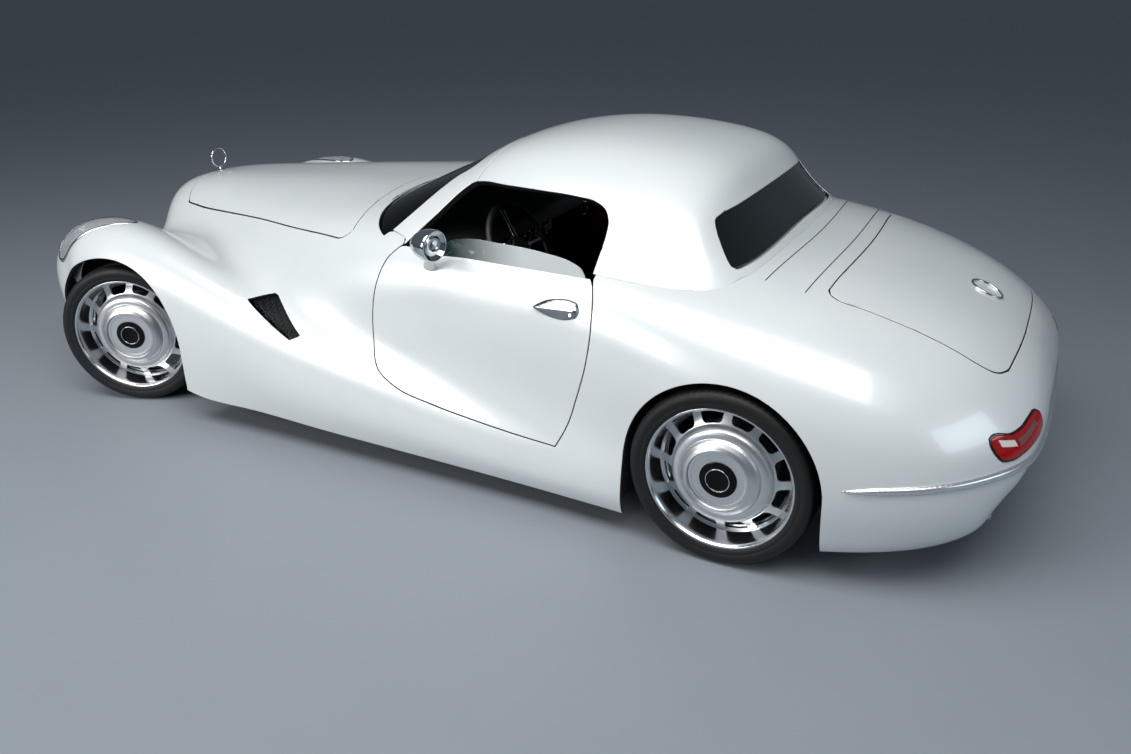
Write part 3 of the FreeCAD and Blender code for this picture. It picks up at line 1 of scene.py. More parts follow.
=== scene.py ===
# %% [markdown]
# # A roadster with its hard top on
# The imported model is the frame: it says where each piece stands and what moves. This lesson dresses
# it: a smooth skin computed from the body's control net, wheels, lamps, trim, cabin and paint.
# Lengths are in metres. X points to the car's left, the nose points along -Y, Z is up.

# %% Start
import json
import math

import bpy
import mathutils
import numpy as np
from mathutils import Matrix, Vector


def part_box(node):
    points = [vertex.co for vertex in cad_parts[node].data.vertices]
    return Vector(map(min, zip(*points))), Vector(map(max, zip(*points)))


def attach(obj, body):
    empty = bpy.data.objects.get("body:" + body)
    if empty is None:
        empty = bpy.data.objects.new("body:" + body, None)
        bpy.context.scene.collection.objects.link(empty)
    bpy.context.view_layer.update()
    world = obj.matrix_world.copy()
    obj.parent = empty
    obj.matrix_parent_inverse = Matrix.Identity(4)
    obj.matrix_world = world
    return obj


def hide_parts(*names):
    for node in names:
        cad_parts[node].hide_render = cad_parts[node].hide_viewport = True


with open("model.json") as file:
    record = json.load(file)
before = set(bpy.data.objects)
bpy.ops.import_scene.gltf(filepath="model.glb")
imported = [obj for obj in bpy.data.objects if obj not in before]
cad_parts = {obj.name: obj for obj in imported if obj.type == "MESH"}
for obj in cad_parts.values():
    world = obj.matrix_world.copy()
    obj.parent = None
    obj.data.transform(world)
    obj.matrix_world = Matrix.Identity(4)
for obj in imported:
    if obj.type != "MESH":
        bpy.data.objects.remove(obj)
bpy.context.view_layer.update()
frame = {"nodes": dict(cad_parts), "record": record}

SHIFT = 0.168
FRONT_Y = -1.5985
REAR_Y = 1.2025
AXLE_Z = 0.315

# %% [markdown]
# ## Nets and outlines
# The body is one long pressed skin and the roof is another. Each is held by rows of control
# points, and the shut lines and windows are outlines seen from the side, from above or from
# behind. They could be drawn as meshes panel by panel, but a net is short to write, and panels
# that are cut from one skin meet on the same curve.

# %% Nets and outlines
BODY_STATION_SHARES = [
    (-1.80, [(0, .20, -1.86), (.10, .20, -1.86), (.18, .20, -1.86), (.24, .20, -1.86),
             (.30, .20, -1.86), (.40, .20, -1.86), (.52, .20, -1.86), (.66, .20, -1.85),
             (.78, .20, -1.80), (.86, .20, -1.74), (.90, .20, -1.72), (.92, .20, -1.71),
             (.92, .20, -1.69)]),
    (-1.90, [(0, .36, -1.90), (.10, .36, -1.90), (.18, .36, -1.90), (.24, .36, -1.90),
             (.30, .36, -1.90), (.40, .36, -1.91), (.52, .36, -1.93), (.66, .38, -1.95),
             (.80, .38, -1.92), (.88, .36, -1.80), (.92, .34, -1.72), (.93, .30, -1.70),
             (.93, .26, -1.68)]),
    (-1.93, [(0, .58, -1.89), (.10, .58, -1.89), (.18, .56, -1.88), (.25, .54, -1.84),
             (.31, .50, -1.82), (.40, .46, -1.88), (.52, .50, -1.96), (.66, .56, -2.00),
             (.81, .58, -1.95), (.90, .50, -1.82), (.935, .44, -1.70), (.94, .38, -1.68),
             (.94, .30, -1.66)]),
    (-1.85, [(0, .80, -1.83), (.08, .80, -1.83), (.16, .78, -1.82), (.23, .73, -1.78),
             (.28, .66, -1.74), (.36, .56, -1.76), (.50, .62, -1.85), (.64, .72, -1.88),
             (.80, .72, -1.83), (.90, .62, -1.72), (.945, .52, -1.62), (.95, .44, -1.60),
             (.95, .36, -1.60)]),
    (-1.62, [(0, .86), (.09, .86), (.18, .84), (.26, .78), (.31, .70), (.38, .62), (.50, .66),
             (.62, .77), (.78, .81), (.90, .74), (.95, .62), (.955, .54), (.955, .46)]),
    (-1.37, [(0, .89), (.12, .89), (.24, .865), (.33, .80), (.38, .72), (.44, .64), (.55, .68),
             (.66, .78), (.80, .81), (.91, .74), (.955, .60), (.96, .53), (.96, .44)]),
    (-1.05, [(0, .915), (.15, .915), (.30, .885), (.42, .83), (.48, .76), (.56, .68), (.66, .66),
             (.76, .72), (.86, .72), (.93, .61), (.955, .43), (.96, .26), (.96, .11)]),
    (-.70, [(0, .945), (.19, .945), (.38, .91), (.52, .86), (.60, .79), (.68, .70), (.75, .63),
            (.82, .60), (.89, .58), (.94, .485), (.955, .36), (.955, .23), (.94, .135)]),
    (-.35, [(0, .96), (.23, .96), (.46, .93), (.62, .89), (.71, .82), (.77, .72), (.80, .62),
            (.84, .53), (.895, .48), (.935, .40), (.95, .287), (.95, .192), (.93, .114)]),
    (0, [(0, .97), (.26, .97), (.52, .96), (.68, .91), (.765, .85), (.81, .73), (.825, .62),
         (.84, .50), (.885, .42), (.925, .34), (.94, .244), (.94, .176), (.92, .107)]),
    (.35, [(0, .97), (.28, .97), (.54, .965), (.70, .92), (.79, .86), (.83, .73), (.84, .60),
           (.845, .46), (.875, .37), (.915, .29), (.93, .21), (.93, .15), (.91, .10)]),
    (.70, [(0, .96), (.28, .96), (.54, .96), (.70, .92), (.80, .86), (.845, .74), (.855, .60),
           (.855, .44), (.87, .33), (.905, .25), (.92, .18), (.92, .13), (.90, .09)]),
    (1.0, [(0, .95), (.28, .95), (.54, .95), (.70, .91), (.82, .85), (.88, .74), (.90, .60),
           (.90, .46), (.90, .34), (.92, .25), (.93, .18), (.93, .13), (.91, .09)]),
    (1.37, [(0, .93), (.26, .93), (.50, .915), (.68, .88), (.83, .82), (.92, .72), (.96, .60),
            (.965, .48), (.965, .38), (.96, .28), (.95, .194), (.94, .14), (.92, .088)]),
    (1.70, [(0, .875), (.24, .875), (.46, .86), (.63, .83), (.78, .77), (.88, .68), (.94, .57),
            (.95, .46), (.95, .36), (.94, .27), (.92, .20), (.91, .15), (.89, .12)]),
    (2.0, [(0, .79), (.20, .79), (.40, .775), (.55, .74), (.69, .68), (.79, .60), (.85, .51),
           (.87, .42), (.87, .34), (.86, .27), (.84, .21), (.82, .18), (.80, .16)]),
    (2.16, [(0, .70), (.16, .70), (.32, .685), (.46, .655), (.57, .60), (.65, .54), (.70, .47),
            (.72, .40), (.72, .34), (.71, .28), (.69, .24), (.67, .21), (.65, .20)]),
    (2.26, [(0, .60), (.12, .60), (.25, .59), (.36, .575), (.45, .54), (.52, .49),
            (.56, .44, 2.25), (.585, .39, 2.24), (.59, .34, 2.22), (.59, .30, 2.20),
            (.585, .27, 2.18), (.58, .25, 2.17), (.57, .235, 2.16)]),
    (2.285, [(0, .47), (.10, .47), (.20, .465), (.30, .455), (.38, .44, 2.28), (.44, .41, 2.265),
             (.49, .38, 2.25), (.52, .345, 2.235), (.53, .31, 2.22), (.53, .285, 2.20),
             (.53, .26, 2.19), (.525, .245, 2.18), (.52, .235, 2.17)]),
    (2.27, [(0, .34, 2.275), (.09, .34, 2.275), (.18, .335), (.27, .33, 2.265),
            (.34, .32, 2.255), (.40, .305, 2.245), (.44, .29, 2.23), (.465, .275, 2.22),
            (.475, .262, 2.21), (.48, .252, 2.20), (.48, .245, 2.19), (.475, .24, 2.185),
            (.47, .235, 2.18)]),
    (2.23, [(0, .225, 2.235), (.08, .225, 2.235), (.16, .225, 2.233), (.24, .225),
            (.30, .225, 2.225), (.35, .225, 2.218), (.385, .225, 2.21), (.41, .225, 2.203),
            (.425, .225, 2.198), (.435, .225, 2.193), (.435, .225, 2.19), (.435, .225, 2.187),
            (.43, .225, 2.184)]),
]

ROOF_ROW_SHARES = [
    [(0, -.275, .945), (.2, -.292, .94), (.42, -.298, .925), (.61, -.255, .885),
     (.712, -.155, .856), (.745, -.04, .85)],
    [(0, -.165, 1.012), (.2, -.177, 1.008), (.41, -.168, .988), (.595, -.11, .944),
     (.698, -.01, .892), (.738, .06, .857)],
    [(0, .065, 1.11), (.19, .07, 1.106), (.38, .092, 1.083), (.545, .16, 1.03),
     (.664, .205, .953), (.738, .23, .86)],
    [(0, .27, 1.222), (.19, .27, 1.217), (.37, .28, 1.197), (.53, .32, 1.124),
     (.66, .36, 1.001), (.745, .38, .86)],
    [(0, .6, 1.268), (.2, .6, 1.263), (.39, .6, 1.238), (.56, .6, 1.167),
     (.68, .6, 1.016), (.76, .6, .86)],
    [(0, .93, 1.251), (.2, .93, 1.246), (.39, .92, 1.226), (.56, .89, 1.15),
     (.69, .86, 1.003), (.77, .84, .86)],
    [(0, 1.204, 1.189), (.2, 1.204, 1.189), (.41, 1.199, 1.169), (.6, 1.148, 1.099),
     (.712, 1.051, .965), (.775, .98, .858)],
    [(0, 1.223, 1.025), (.2, 1.223, 1.025), (.43, 1.218, 1.01), (.62, 1.213, .966),
     (.718, 1.158, .902), (.765, 1.1, .857)],
    [(0, 1.405, .895), (.2, 1.405, .895), (.42, 1.395, .892), (.62, 1.355, .88),
     (.715, 1.285, .866), (.748, 1.215, .856)],
]

DOOR_LINE_SHARES = [
    (.039, .870), (-.006, .826), (-.039, .748), (-.053, .669), (-.048, .538), (-.006, .425),
    (.084, .372), (.241, .336), (.421, .310), (.587, .292), (.765, .282),
    (.805, .368), (.836, .470), (.872, .609), (.882, .729), (.866, .830), (.846, .870),
]

SIDE_WINDOW_SHARES = [
    (.038, .800), (.038, .870), (.115, .965), (.190, 1.058), (.220, 1.080), (.258, 1.089),
    (.400, 1.098), (.560, 1.101), (.700, 1.098), (.780, 1.089), (.823, 1.070), (.846, 1.040),
    (.852, .990), (.845, .926), (.838, .870), (.838, .800),
]

BONNET_LINE_SHARES = [
    (0, -1.615), (.12, -1.612), (.22, -1.60), (.285, -1.57), (.335, -1.42), (.387, -1.25),
    (.499, -.891), (.603, -.578), (.675, -.33), (.680, -.285), (.660, -.255), (.579, -.270),
    (.447, -.295), (.25, -.318), (0, -.325),
]

BOOT_LINE_SHARES = [
    (0, 1.598), (.25, 1.592), (.47, 1.578), (.535, 1.575), (.556, 1.60), (.558, 1.68),
    (.541, 1.90), (.528, 2.03), (.50, 2.10), (.44, 2.135), (.25, 2.152), (0, 2.157),
]

CABIN_LINE_SHARES = [
    (0, -.19), (.45, -.185), (.60, -.13), (.665, -.05), (.70, .036), (.79, .036), (.79, .850),
    (.715, .852), (.70, 1.02), (.62, 1.20), (.50, 1.25), (0, 1.27),
]

SCREEN_LINE_SHARES = [
    (0, -.232), (.25, -.240), (.42, -.228), (.56, -.190), (.640, -.142), (.697, -.076),
    (.639, -.034), (.566, .010), (.485, .051), (.418, .090), (.385, .140), (.30, .168),
    (0, .172),
]

REAR_WINDOW_SHARES = [
    (0, 1.080), (.30, 1.077), (.47, 1.069), (.522, 1.057), (.540, 1.036), (.563, .997),
    (.600, .936), (.606, .922), (.590, .918), (.472, .928), (.25, .941), (0, .946),
]

GRILLE_LINE_SHARES = [
    (0, .790), (.08, .788), (.145, .762), (.178, .70), (.185, .60), (.170, .48), (.130, .40),
    (.06, .375), (0, .372),
]

print("body net", len(BODY_STATION_SHARES), "rows; roof net", len(ROOF_ROW_SHARES), "rows")

# %% [markdown]
# ## A spline surface as whole arrays
# The real panels run on into one another without a kink. A subdivided cage could give that too; a
# cubic B-spline surface has a formula for every point and normal, so numpy works out all of them
# at once, and any cut lies exactly on the skin.

# %% Spline surfaces
def basis(places, count):
    """Cubic B-spline weights: each place's pull towards each control point, summing to 1."""
    knots = np.concatenate([np.zeros(3), np.linspace(0, 1, count - 2), np.ones(3)])
    t = np.clip(places, 0, 1 - 1e-9)[:, None]
    weights = ((knots[:-1] <= t) & (t < knots[1:])).astype(float)
    for degree in (1, 2, 3):
        width = knots[degree:-1] - knots[:-degree - 1]
        lead = np.where(width > 0, (t - knots[:-degree - 1]) / np.where(width > 0, width, 1), 0)
        width = knots[degree + 1:] - knots[1:-degree]
        trail = np.where(width > 0, (knots[degree + 1:] - t) / np.where(width > 0, width, 1), 0)
        weights = lead * weights[:, :-1] + trail * weights[:, 1:]
    return weights


STEP = 1e-4


class Skin:
    """A cubic surface over a net of control points; u runs down the rows, v across them."""

    def __init__(self, net):
        self.net = np.array(net)

    def point(self, uv):
        """The weighted mean of the control points, with one weight down and one across."""
        down = basis(uv[:, 0], self.net.shape[0])
        across = basis(uv[:, 1], self.net.shape[1])
        return np.einsum("ni,nj,ijk->nk", down, across, self.net, optimize=True)

    def normal(self, uv):
        """The unit vector across both directions of the surface, turned out of the car."""
        ways = []
        for step in ([STEP, 0], [0, STEP]):
            ahead, back = np.clip(uv + step, 0, 1), np.clip(uv - step, 0, 1)
            ways.append(self.point(ahead) - self.point(back))
        return self.turn() * unit(np.cross(*ways))

    def turn(self):
        """1 where rows times columns already points up at the middle of the net, else -1."""
        net = self.net
        i, j = net.shape[0] // 2, net.shape[1] // 2
        cross = np.cross(net[i + 1, j] - net[i - 1, j], net[i, j + 1] - net[i, j - 1])
        return 1.0 if cross[2] > 0 else -1.0


def unit(vectors):
    """Each vector over its own length."""
    return vectors / np.maximum(np.linalg.norm(vectors, axis=-1, keepdims=True), 1e-12)


def full_turn(count):
    """Angles once round, each the same step from the next."""
    return np.linspace(0, 2 * np.pi, count, endpoint=False)


def circle(count, first, second):
    """Points once round a circle of radius 1 in the plane of two axes."""
    turn = full_turn(count)
    points = np.zeros((count, 3))
    points[:, first], points[:, second] = np.cos(turn), np.sin(turn)
    return points


def spun(points, angle, axis):
    """Points turned by an angle round one axis: of the two coordinates after it, the first becomes
    a cos - b sin and the second a sin + b cos."""
    out = np.array(points, float)
    first, second = (axis + 1) % 3, (axis + 2) % 3
    a, b = out[..., first].copy(), out[..., second].copy()
    out[..., first] = a * math.cos(angle) - b * math.sin(angle)
    out[..., second] = a * math.sin(angle) + b * math.cos(angle)
    return out


def whole_car(rows):
    """Rows from the centre line out, completed by their mirror image and moved to the frame."""
    half = np.array(rows)
    half[:, :, 1] -= SHIFT
    other = half[:, :0:-1].copy()
    other[:, :, 0] *= -1
    return np.concatenate([other, half], axis=1)


def station_rows():
    """The body's rows as x, y, z: a point's own y share where it has one, else the station's."""
    return [[(p[0], p[2] if len(p) > 2 else station, p[1]) for p in points]
            for station, points in BODY_STATION_SHARES]


body_skin = Skin(whole_car(station_rows()))
roof_skin = Skin(whole_car(ROOF_ROW_SHARES))
print("body from", body_skin.point(np.array([[0, .5]])), "to", body_skin.point(np.array([[1, .5]])))

# %% [markdown]
# ## Outlines and fields
# A shut line on the car is an even gap that crosses every curve. Boolean cutters would leave
# ragged edges on a curved sheet. Here a field is positive where a panel keeps its skin, and
# cutting the surface where the field is zero gives a clean line, whatever the grid below it.

# %% Outlines and fields
def smooth_line(points, corners, steps=14):
    """A closed line through points: between corners each span is a cubic whose slopes are the
    means of the chords on both sides; a span with two points is straight."""
    points = np.array(points, float)
    count = len(points)
    run_list = []
    for number, start in enumerate(corners):
        end = corners[(number + 1) % len(corners)]
        run = [start]
        while run[-1] != end or len(run) == 1:
            run.append((run[-1] + 1) % count)
        spots = points[run]
        if len(spots) == 2:
            run_list.append(spots[:1])
            continue
        chord = np.linalg.norm(np.diff(spots, axis=0), axis=1)
        slope = np.diff(spots, axis=0) / chord[:, None]
        inner = (slope[:-1] * chord[1:, None] + slope[1:] * chord[:-1, None]) / (
            chord[1:] + chord[:-1])[:, None]
        first = 1.5 * slope[:1] - .5 * inner[:1]
        last = 1.5 * slope[-1:] - .5 * inner[-1:]
        slopes = np.concatenate([first, inner, last])
        t = np.linspace(0, 1, steps, endpoint=False)[None, :, None]
        a, b = spots[:-1, None], spots[1:, None]
        da = slopes[:-1, None] * chord[:, None, None]
        db = slopes[1:, None] * chord[:, None, None]
        curve = ((2 * t**3 - 3 * t**2 + 1) * a + (t**3 - 2 * t**2 + t) * da
                 + (-2 * t**3 + 3 * t**2) * b + (t**3 - t**2) * db)
        run_list.append(curve.reshape(-1, 2))
    return np.concatenate(run_list)


def line_distance(spots, line):
    """Signed distance to a closed line, positive inside."""
    a = line[None]
    ab = np.roll(line, -1, axis=0)[None] - a
    result = np.empty(len(spots))
    for low in range(0, len(spots), 4000):
        p = spots[low:low + 4000, None]
        share = np.clip(((p - a) * ab).sum(2) / np.maximum((ab**2).sum(2), 1e-12), 0, 1)
        gap = np.linalg.norm(p - a - share[..., None] * ab, axis=2).min(1)
        over = (a[..., 1] > p[..., 1]) != ((a + ab)[..., 1] > p[..., 1])
        rise = np.where(np.abs(ab[..., 1]) > 1e-12, ab[..., 1], 1e-12)
        cross = a[..., 0] + (p[..., 1] - a[..., 1]) * ab[..., 0] / rise
        inside = (over & (p[..., 0] < cross)).sum(1) % 2 == 1
        result[low:low + 4000] = np.where(inside, gap, -gap)
    return result


AXES = {"side": [1, 2], "plan": [0, 1], "end": [0, 2]}


def within(line, way, grow=0.0):
    """Positive inside an outline that is moved outwards by grow."""
    return lambda p: line_distance(p[:, AXES[way]], line) + grow


def outside(line, way, grow=0.0):
    """Positive beyond an outline that is moved outwards by grow."""
    return lambda p: -line_distance(p[:, AXES[way]], line) - grow


def beyond(axis, value, sign=1):
    """Positive past a plane across one axis."""
    return lambda p: sign * (p[:, axis] - value)


def either(*fields):
    """The larger of several fields: kept where any of them keeps."""
    return lambda p: np.max([field(p) for field in fields], axis=0)


def both(*fields):
    """The smaller of several fields: kept where all of them keep."""
    return lambda p: np.min([field(p) for field in fields], axis=0)


def opposite(field):
    """Kept where the field drops."""
    return lambda p: -field(p)


def side_line(shares):
    """A side outline in the frame."""
    return [(y - SHIFT, z) for y, z in shares]


def mirror_outline(shares, spots, shift=SHIFT):
    """A closed smooth line from half an outline, its mirror image and its corners."""
    points = [(x, y - shift) for x, y in shares]
    points += [(-x, y) for x, y in reversed(points) if x > 0]
    count = len(points)
    return smooth_line(points, sorted(set(spots + [(count - s) % count for s in spots])))


bonnet_line = mirror_outline(BONNET_LINE_SHARES, [3, 8, 10])
boot_line = mirror_outline(BOOT_LINE_SHARES, [3, 5, 7, 9])
cabin_line = mirror_outline(CABIN_LINE_SHARES, list(range(1, 11)))
screen_line = mirror_outline(SCREEN_LINE_SHARES, [5])
rear_window_line = mirror_outline(REAR_WINDOW_SHARES, [2, 3, 4, 6, 7, 8], 0.0)
grille_line = mirror_outline(GRILLE_LINE_SHARES, [0, 8], 0.0)
door_line = smooth_line(side_line(DOOR_LINE_SHARES), [0, 10, 16])
side_window_line = smooth_line(side_line(SIDE_WINDOW_SHARES), [0, 1, 14, 15])
tail_lamp_line = smooth_line([(.684, .540), (.664, .545), (.612, .534), (.566, .539), (.505, .556),
                              (.462, .562), (.438, .548), (.432, .524), (.440, .500), (.465, .486),
                              (.525, .472), (.591, .459), (.636, .454), (.672, .463), (.689, .490),
                              (.692, .520)], [0, 6])
vent_line = np.array(side_line([(-.669, .585), (-.564, .609), (-.374, .489), (-.418, .468)]))
print("door line of", len(door_line), "points; bonnet line of", len(bonnet_line))

# %% [markdown]
# ## Cutting a surface and giving it thickness
# A real panel is a sheet with a folded edge that catches the light. Solidify and Bevel could add
# it, but they bend the normals beside the edge. The patch keeps the skin's own normals, and its
# edge turns down on a quarter circle.

# %% Patches and plates
def grid(u_range, v_range, rows, columns):
    """A plain grid over a stretch of a surface: places and triangles."""
    u, v = np.meshgrid(np.linspace(*u_range, rows), np.linspace(*v_range, columns), indexing="ij")
    uv = np.stack([u.ravel(), v.ravel()], 1)
    a = (np.arange(rows - 1)[:, None] * columns + np.arange(columns - 1)[None]).ravel()
    b, c, d = a + 1, a + columns + 1, a + columns
    return uv, np.concatenate([np.stack([a, b, c], 1), np.stack([a, c, d], 1)])


def clip(skin, uv, tris, field):
    """The part of a net where the field is positive. An edge that crosses zero is cut where the
    field vanishes, found by repeated halving along the edge on the surface itself."""
    value = field(skin.point(uv))
    value[np.abs(value) < 1e-7] = 1e-7
    keep = value > 0
    kept = keep[tris]
    number = kept.sum(1)
    whole = tris[number == 3]
    mixed = tris[(number == 1) | (number == 2)]
    if not len(mixed):
        return compact(uv, whole)
    lone = np.where(keep[mixed].sum(1) == 1, keep[mixed].argmax(1), (~keep[mixed]).argmax(1))
    order = (lone[:, None] + np.arange(3)) % 3
    mixed = np.take_along_axis(mixed, order, 1)
    pairs = np.concatenate([mixed[:, [0, 1]], mixed[:, [0, 2]]])
    key = np.sort(pairs, axis=1)
    edges, back = np.unique(key, axis=0, return_inverse=True)
    back = back.ravel()
    inside = np.where(keep[edges[:, 0]], edges[:, 0], edges[:, 1])
    out = np.where(keep[edges[:, 0]], edges[:, 1], edges[:, 0])
    near, far = uv[inside], uv[out]
    for _ in range(14):
        middle = (near + far) / 2
        good = (field(skin.point(middle)) > 0)[:, None]
        near = np.where(good, middle, near)
        far = np.where(good, far, middle)
    new = len(uv) + back
    first, second = new[:len(mixed)], new[len(mixed):]
    single = keep[mixed[:, 0]]
    alone = np.stack([mixed[:, 0], first, second], 1)[single]
    pair_a = np.stack([mixed[:, 1], mixed[:, 2], second], 1)[~single]
    pair_b = np.stack([mixed[:, 1], second, first], 1)[~single]
    return compact(np.concatenate([uv, near]), np.concatenate([whole, alone, pair_a, pair_b]))


def compact(uv, tris):
    """The same net without the places that no triangle uses."""
    used, back = np.unique(tris, return_inverse=True)
    return uv[used], back.reshape(tris.shape)


COARSE, SAMPLES = 90, 60
NEAR, MARGIN = .06, .012


def patch(skin, fields, cell):
    """A net over the stretch of the surface that all fields keep, cut by each in turn."""
    rough, _ = grid((0, 1), (0, 1), COARSE, COARSE)
    spots = skin.point(rough)
    good = np.min([field(spots) for field in fields], axis=0) > -NEAR
    low = np.clip(rough[good].min(0) - MARGIN, 0, 1)
    high = np.clip(rough[good].max(0) + MARGIN, 0, 1)
    sizes = []
    for axis in (0, 1):
        way = np.tile((low + high) / 2, (SAMPLES, 1))
        way[:, axis] = low[axis] + (high[axis] - low[axis]) * np.linspace(0, 1, SAMPLES)
        length = np.linalg.norm(np.diff(skin.point(way), axis=0), axis=1).sum()
        sizes.append(int(length / cell) + 3)
    uv, tris = grid((low[0], high[0]), (low[1], high[1]), *sizes)
    for field in fields:
        uv, tris = clip(skin, uv, tris, field)
    return uv, tris


def rim_edges(tris):
    """The directed edges that only one triangle has."""
    edges = np.concatenate([tris[:, [0, 1]], tris[:, [1, 2]], tris[:, [2, 0]]])
    key = np.sort(edges, axis=1)
    _, first, count = np.unique(key, axis=0, return_index=True, return_counts=True)
    return edges[first[count == 1]]


def plate(skin, net, depth, round_by=.0015, lift=0.0):
    """A panel with thickness. Its face is the net lifted along the normal, its edge turns down on
    a quarter circle and runs straight to the inner face. Gives points, triangles and normals."""
    uv, tris = net
    normal = skin.normal(uv)
    face = skin.point(uv) + normal * lift
    flat = np.cross(face[tris[:, 1]] - face[tris[:, 0]], face[tris[:, 2]] - face[tris[:, 0]])
    if (flat * normal[tris[:, 0]]).sum() < 0:
        tris = tris[:, ::-1]
    edges = rim_edges(tris)
    out = np.zeros_like(face)
    side = unit(np.cross(face[edges[:, 1]] - face[edges[:, 0]], normal[edges[:, 0]]))
    np.add.at(out, edges[:, 0], side)
    np.add.at(out, edges[:, 1], side)
    ring = np.unique(edges)
    place = np.full(len(face), -1)
    place[ring] = np.arange(len(ring))
    out = unit(out[ring])
    up = normal[ring]
    rows, normals = [], []
    for turn in np.radians([0, 30, 60, 90]):
        rows.append(face[ring] + out * (round_by * (math.sin(turn) - 1))
                    - up * (round_by * (1 - math.cos(turn))))
        normals.append(up * math.cos(turn) + out * math.sin(turn))
    rows += [rows[-1] - up * (depth - round_by)]
    normals += [out]
    face = face.copy()
    face[ring] = rows[0]
    inner = face - normal * depth
    inner[ring] = rows[-1]
    points = np.concatenate([face] + rows[1:] + [inner])
    normals = np.concatenate([normal] + normals[1:] + [-normal])
    count = len(face)
    length = len(ring)
    quads = []
    a, b = edges.T
    for step in range(4):
        d, c = (count + step * length + place[edges]).T
        quads += [np.stack([a, d, c], 1), np.stack([a, c, b], 1)]
        a, b = d, c
    last = count + 4 * length
    faces = np.concatenate([tris] + quads + [tris[:, ::-1] + last])
    under = np.zeros(len(faces), int)
    under[-len(tris):] = 1
    under[-len(tris) - 2 * len(edges):-len(tris)] = 2
    return points, faces, unit(normals), under


def new_object(name, data):
    """An object linked to the scene."""
    made = bpy.data.objects.new(name, data)
    bpy.context.scene.collection.objects.link(made)
    return made


def build(name, points, faces, looks, normals=None, index=None, smooth=True):
    """A mesh object at the origin from whole arrays of points and faces, with one material or a
    list of them."""
    name = name.replace(" ", "_")
    mesh = bpy.data.meshes.new(name)
    corners = faces if isinstance(faces, list) else faces.tolist()
    mesh.from_pydata(np.asarray(points).tolist(), [], corners)
    mesh.polygons.foreach_set("use_smooth", np.full(len(mesh.polygons), smooth))
    for look in looks if isinstance(looks, list) else [looks]:
        mesh.materials.append(look)
    if index is not None:
        mesh.polygons.foreach_set("material_index", np.asarray(index, np.int32))
    if normals is not None:
        mesh.normals_split_custom_set_from_vertices(np.asarray(normals).tolist())
    mesh.update()
    return new_object(name, mesh)


def panel(name, skin, fields, cell, depth, looks, round_by=.0015, lift=0.0):
    """A piece with thickness, cut from a surface by its fields. Where it has three looks they are
    for the face with its round edge, the inner face and the wall."""
    points, faces, normals, under = plate(skin, patch(skin, fields, cell), depth, round_by, lift)
    return build(name, points, faces, looks, normals, under if isinstance(looks, list) else None)

# %% [markdown]
# ## Materials
# White pearl paint, chrome, turned metal, rubber, glass and red hide. Each could be built by hand
# in the node editor. In a script, a value is a shader socket that can stand in a sum, so a
# material reads like its formula.

# %% Materials
class Value:
    """A shader socket that takes part in sums; node() adds any other node."""

    def __init__(self, tree, socket=None):
        self.tree = tree
        self.socket = socket

    def node(self, kind, settings=None, output=0, **inputs):
        """Any node: its settings, then its inputs by name, or by number as i0, i6."""
        made = self.tree.nodes.new(kind)
        for name, value in (settings or {}).items():
            setattr(made, name, value)
        for name, value in inputs.items():
            key = int(name[1:]) if name[0] == "i" and name[1:].isdigit() else name.replace("_", " ")
            if isinstance(value, Value):
                self.tree.links.new(value.socket, made.inputs[key])
            else:
                made.inputs[key].default_value = value
        return Value(self.tree, made.outputs[output])

    def math(self, operation, *values):
        """A Math node over values."""
        inputs = {"i%d" % i: value for i, value in enumerate(values)}
        return self.node("ShaderNodeMath", {"operation": operation}, **inputs)

    def __add__(self, other):
        return self.math("ADD", self, other)

    __radd__ = __add__

    def __mul__(self, other):
        return self.math("MULTIPLY", self, other)

    __rmul__ = __mul__


def linear(hex_color):
    """A screen colour as linear light with full alpha."""
    parts = [int(hex_color[i:i + 2], 16) / 255 for i in (0, 2, 4)]
    return tuple([((c + .055) / 1.055) ** 2.4 if c > .04 else c / 12.92 for c in parts] + [1.0])


def material(name, paint, **constants):
    """A material: paint(start) gives the inputs that vary, the constants stay on the socket."""
    made = bpy.data.materials.new(name)
    made.use_nodes = True
    tree = made.node_tree
    shader = tree.nodes["Principled BSDF"]
    for key, value in constants.items():
        shader.inputs[key.replace("_", " ")].default_value = value
    for key, value in paint(Value(tree)).items():
        tree.links.new(value.socket, shader.inputs[key])
    return made


def spot(start):
    """Object coordinates."""
    return start.node("ShaderNodeTexCoord", output=3)


def noise(start, scale, detail=3.0):
    """Soft noise on object coordinates."""
    return start.node("ShaderNodeTexNoise", Vector=spot(start), Scale=scale, Detail=detail)


def between(start, share, low, high):
    """A colour that goes from low to high with a share."""
    mix = {"data_type": "RGBA"}
    return start.node("ShaderNodeMix", mix, output=2, i0=share, i6=low, i7=high)


def ranged(value, low, high):
    """A share from 0 to 1 turned into a range."""
    return value * (high - low) + low


def bumped(start, height, strength, distance=.001):
    """The normal tilted by the slope of a height."""
    return start.node("ShaderNodeBump", Height=height, Strength=strength, Distance=distance)


def coat(name, low, high, rough_low, rough_high, scale=40.0, bump=0.0, bump_scale=400.0,
         **constants):
    """A material whose colour and roughness wander between two values, with a fine grain."""
    def paint(start):
        share = noise(start, scale)
        result = {"Base Color": between(start, share, linear(low), linear(high)),
                  "Roughness": ranged(share, rough_low, rough_high)}
        if bump:
            result["Normal"] = bumped(start, noise(start, bump_scale), bump)
        return result
    return material(name, paint, **constants)


def pearl(start):
    """Pearl paint: a fine flake tilts the light, and the tone drifts a little over the body."""
    flake = noise(start, 2600.0, 1.0)
    drift = noise(start, 3.0, 2.0)
    return {"Base Color": between(start, drift, linear("dfe5e6"), linear("edf0ef")),
            "Roughness": ranged(flake, .24, .34),
            "Normal": bumped(start, flake, .035, .0004)}


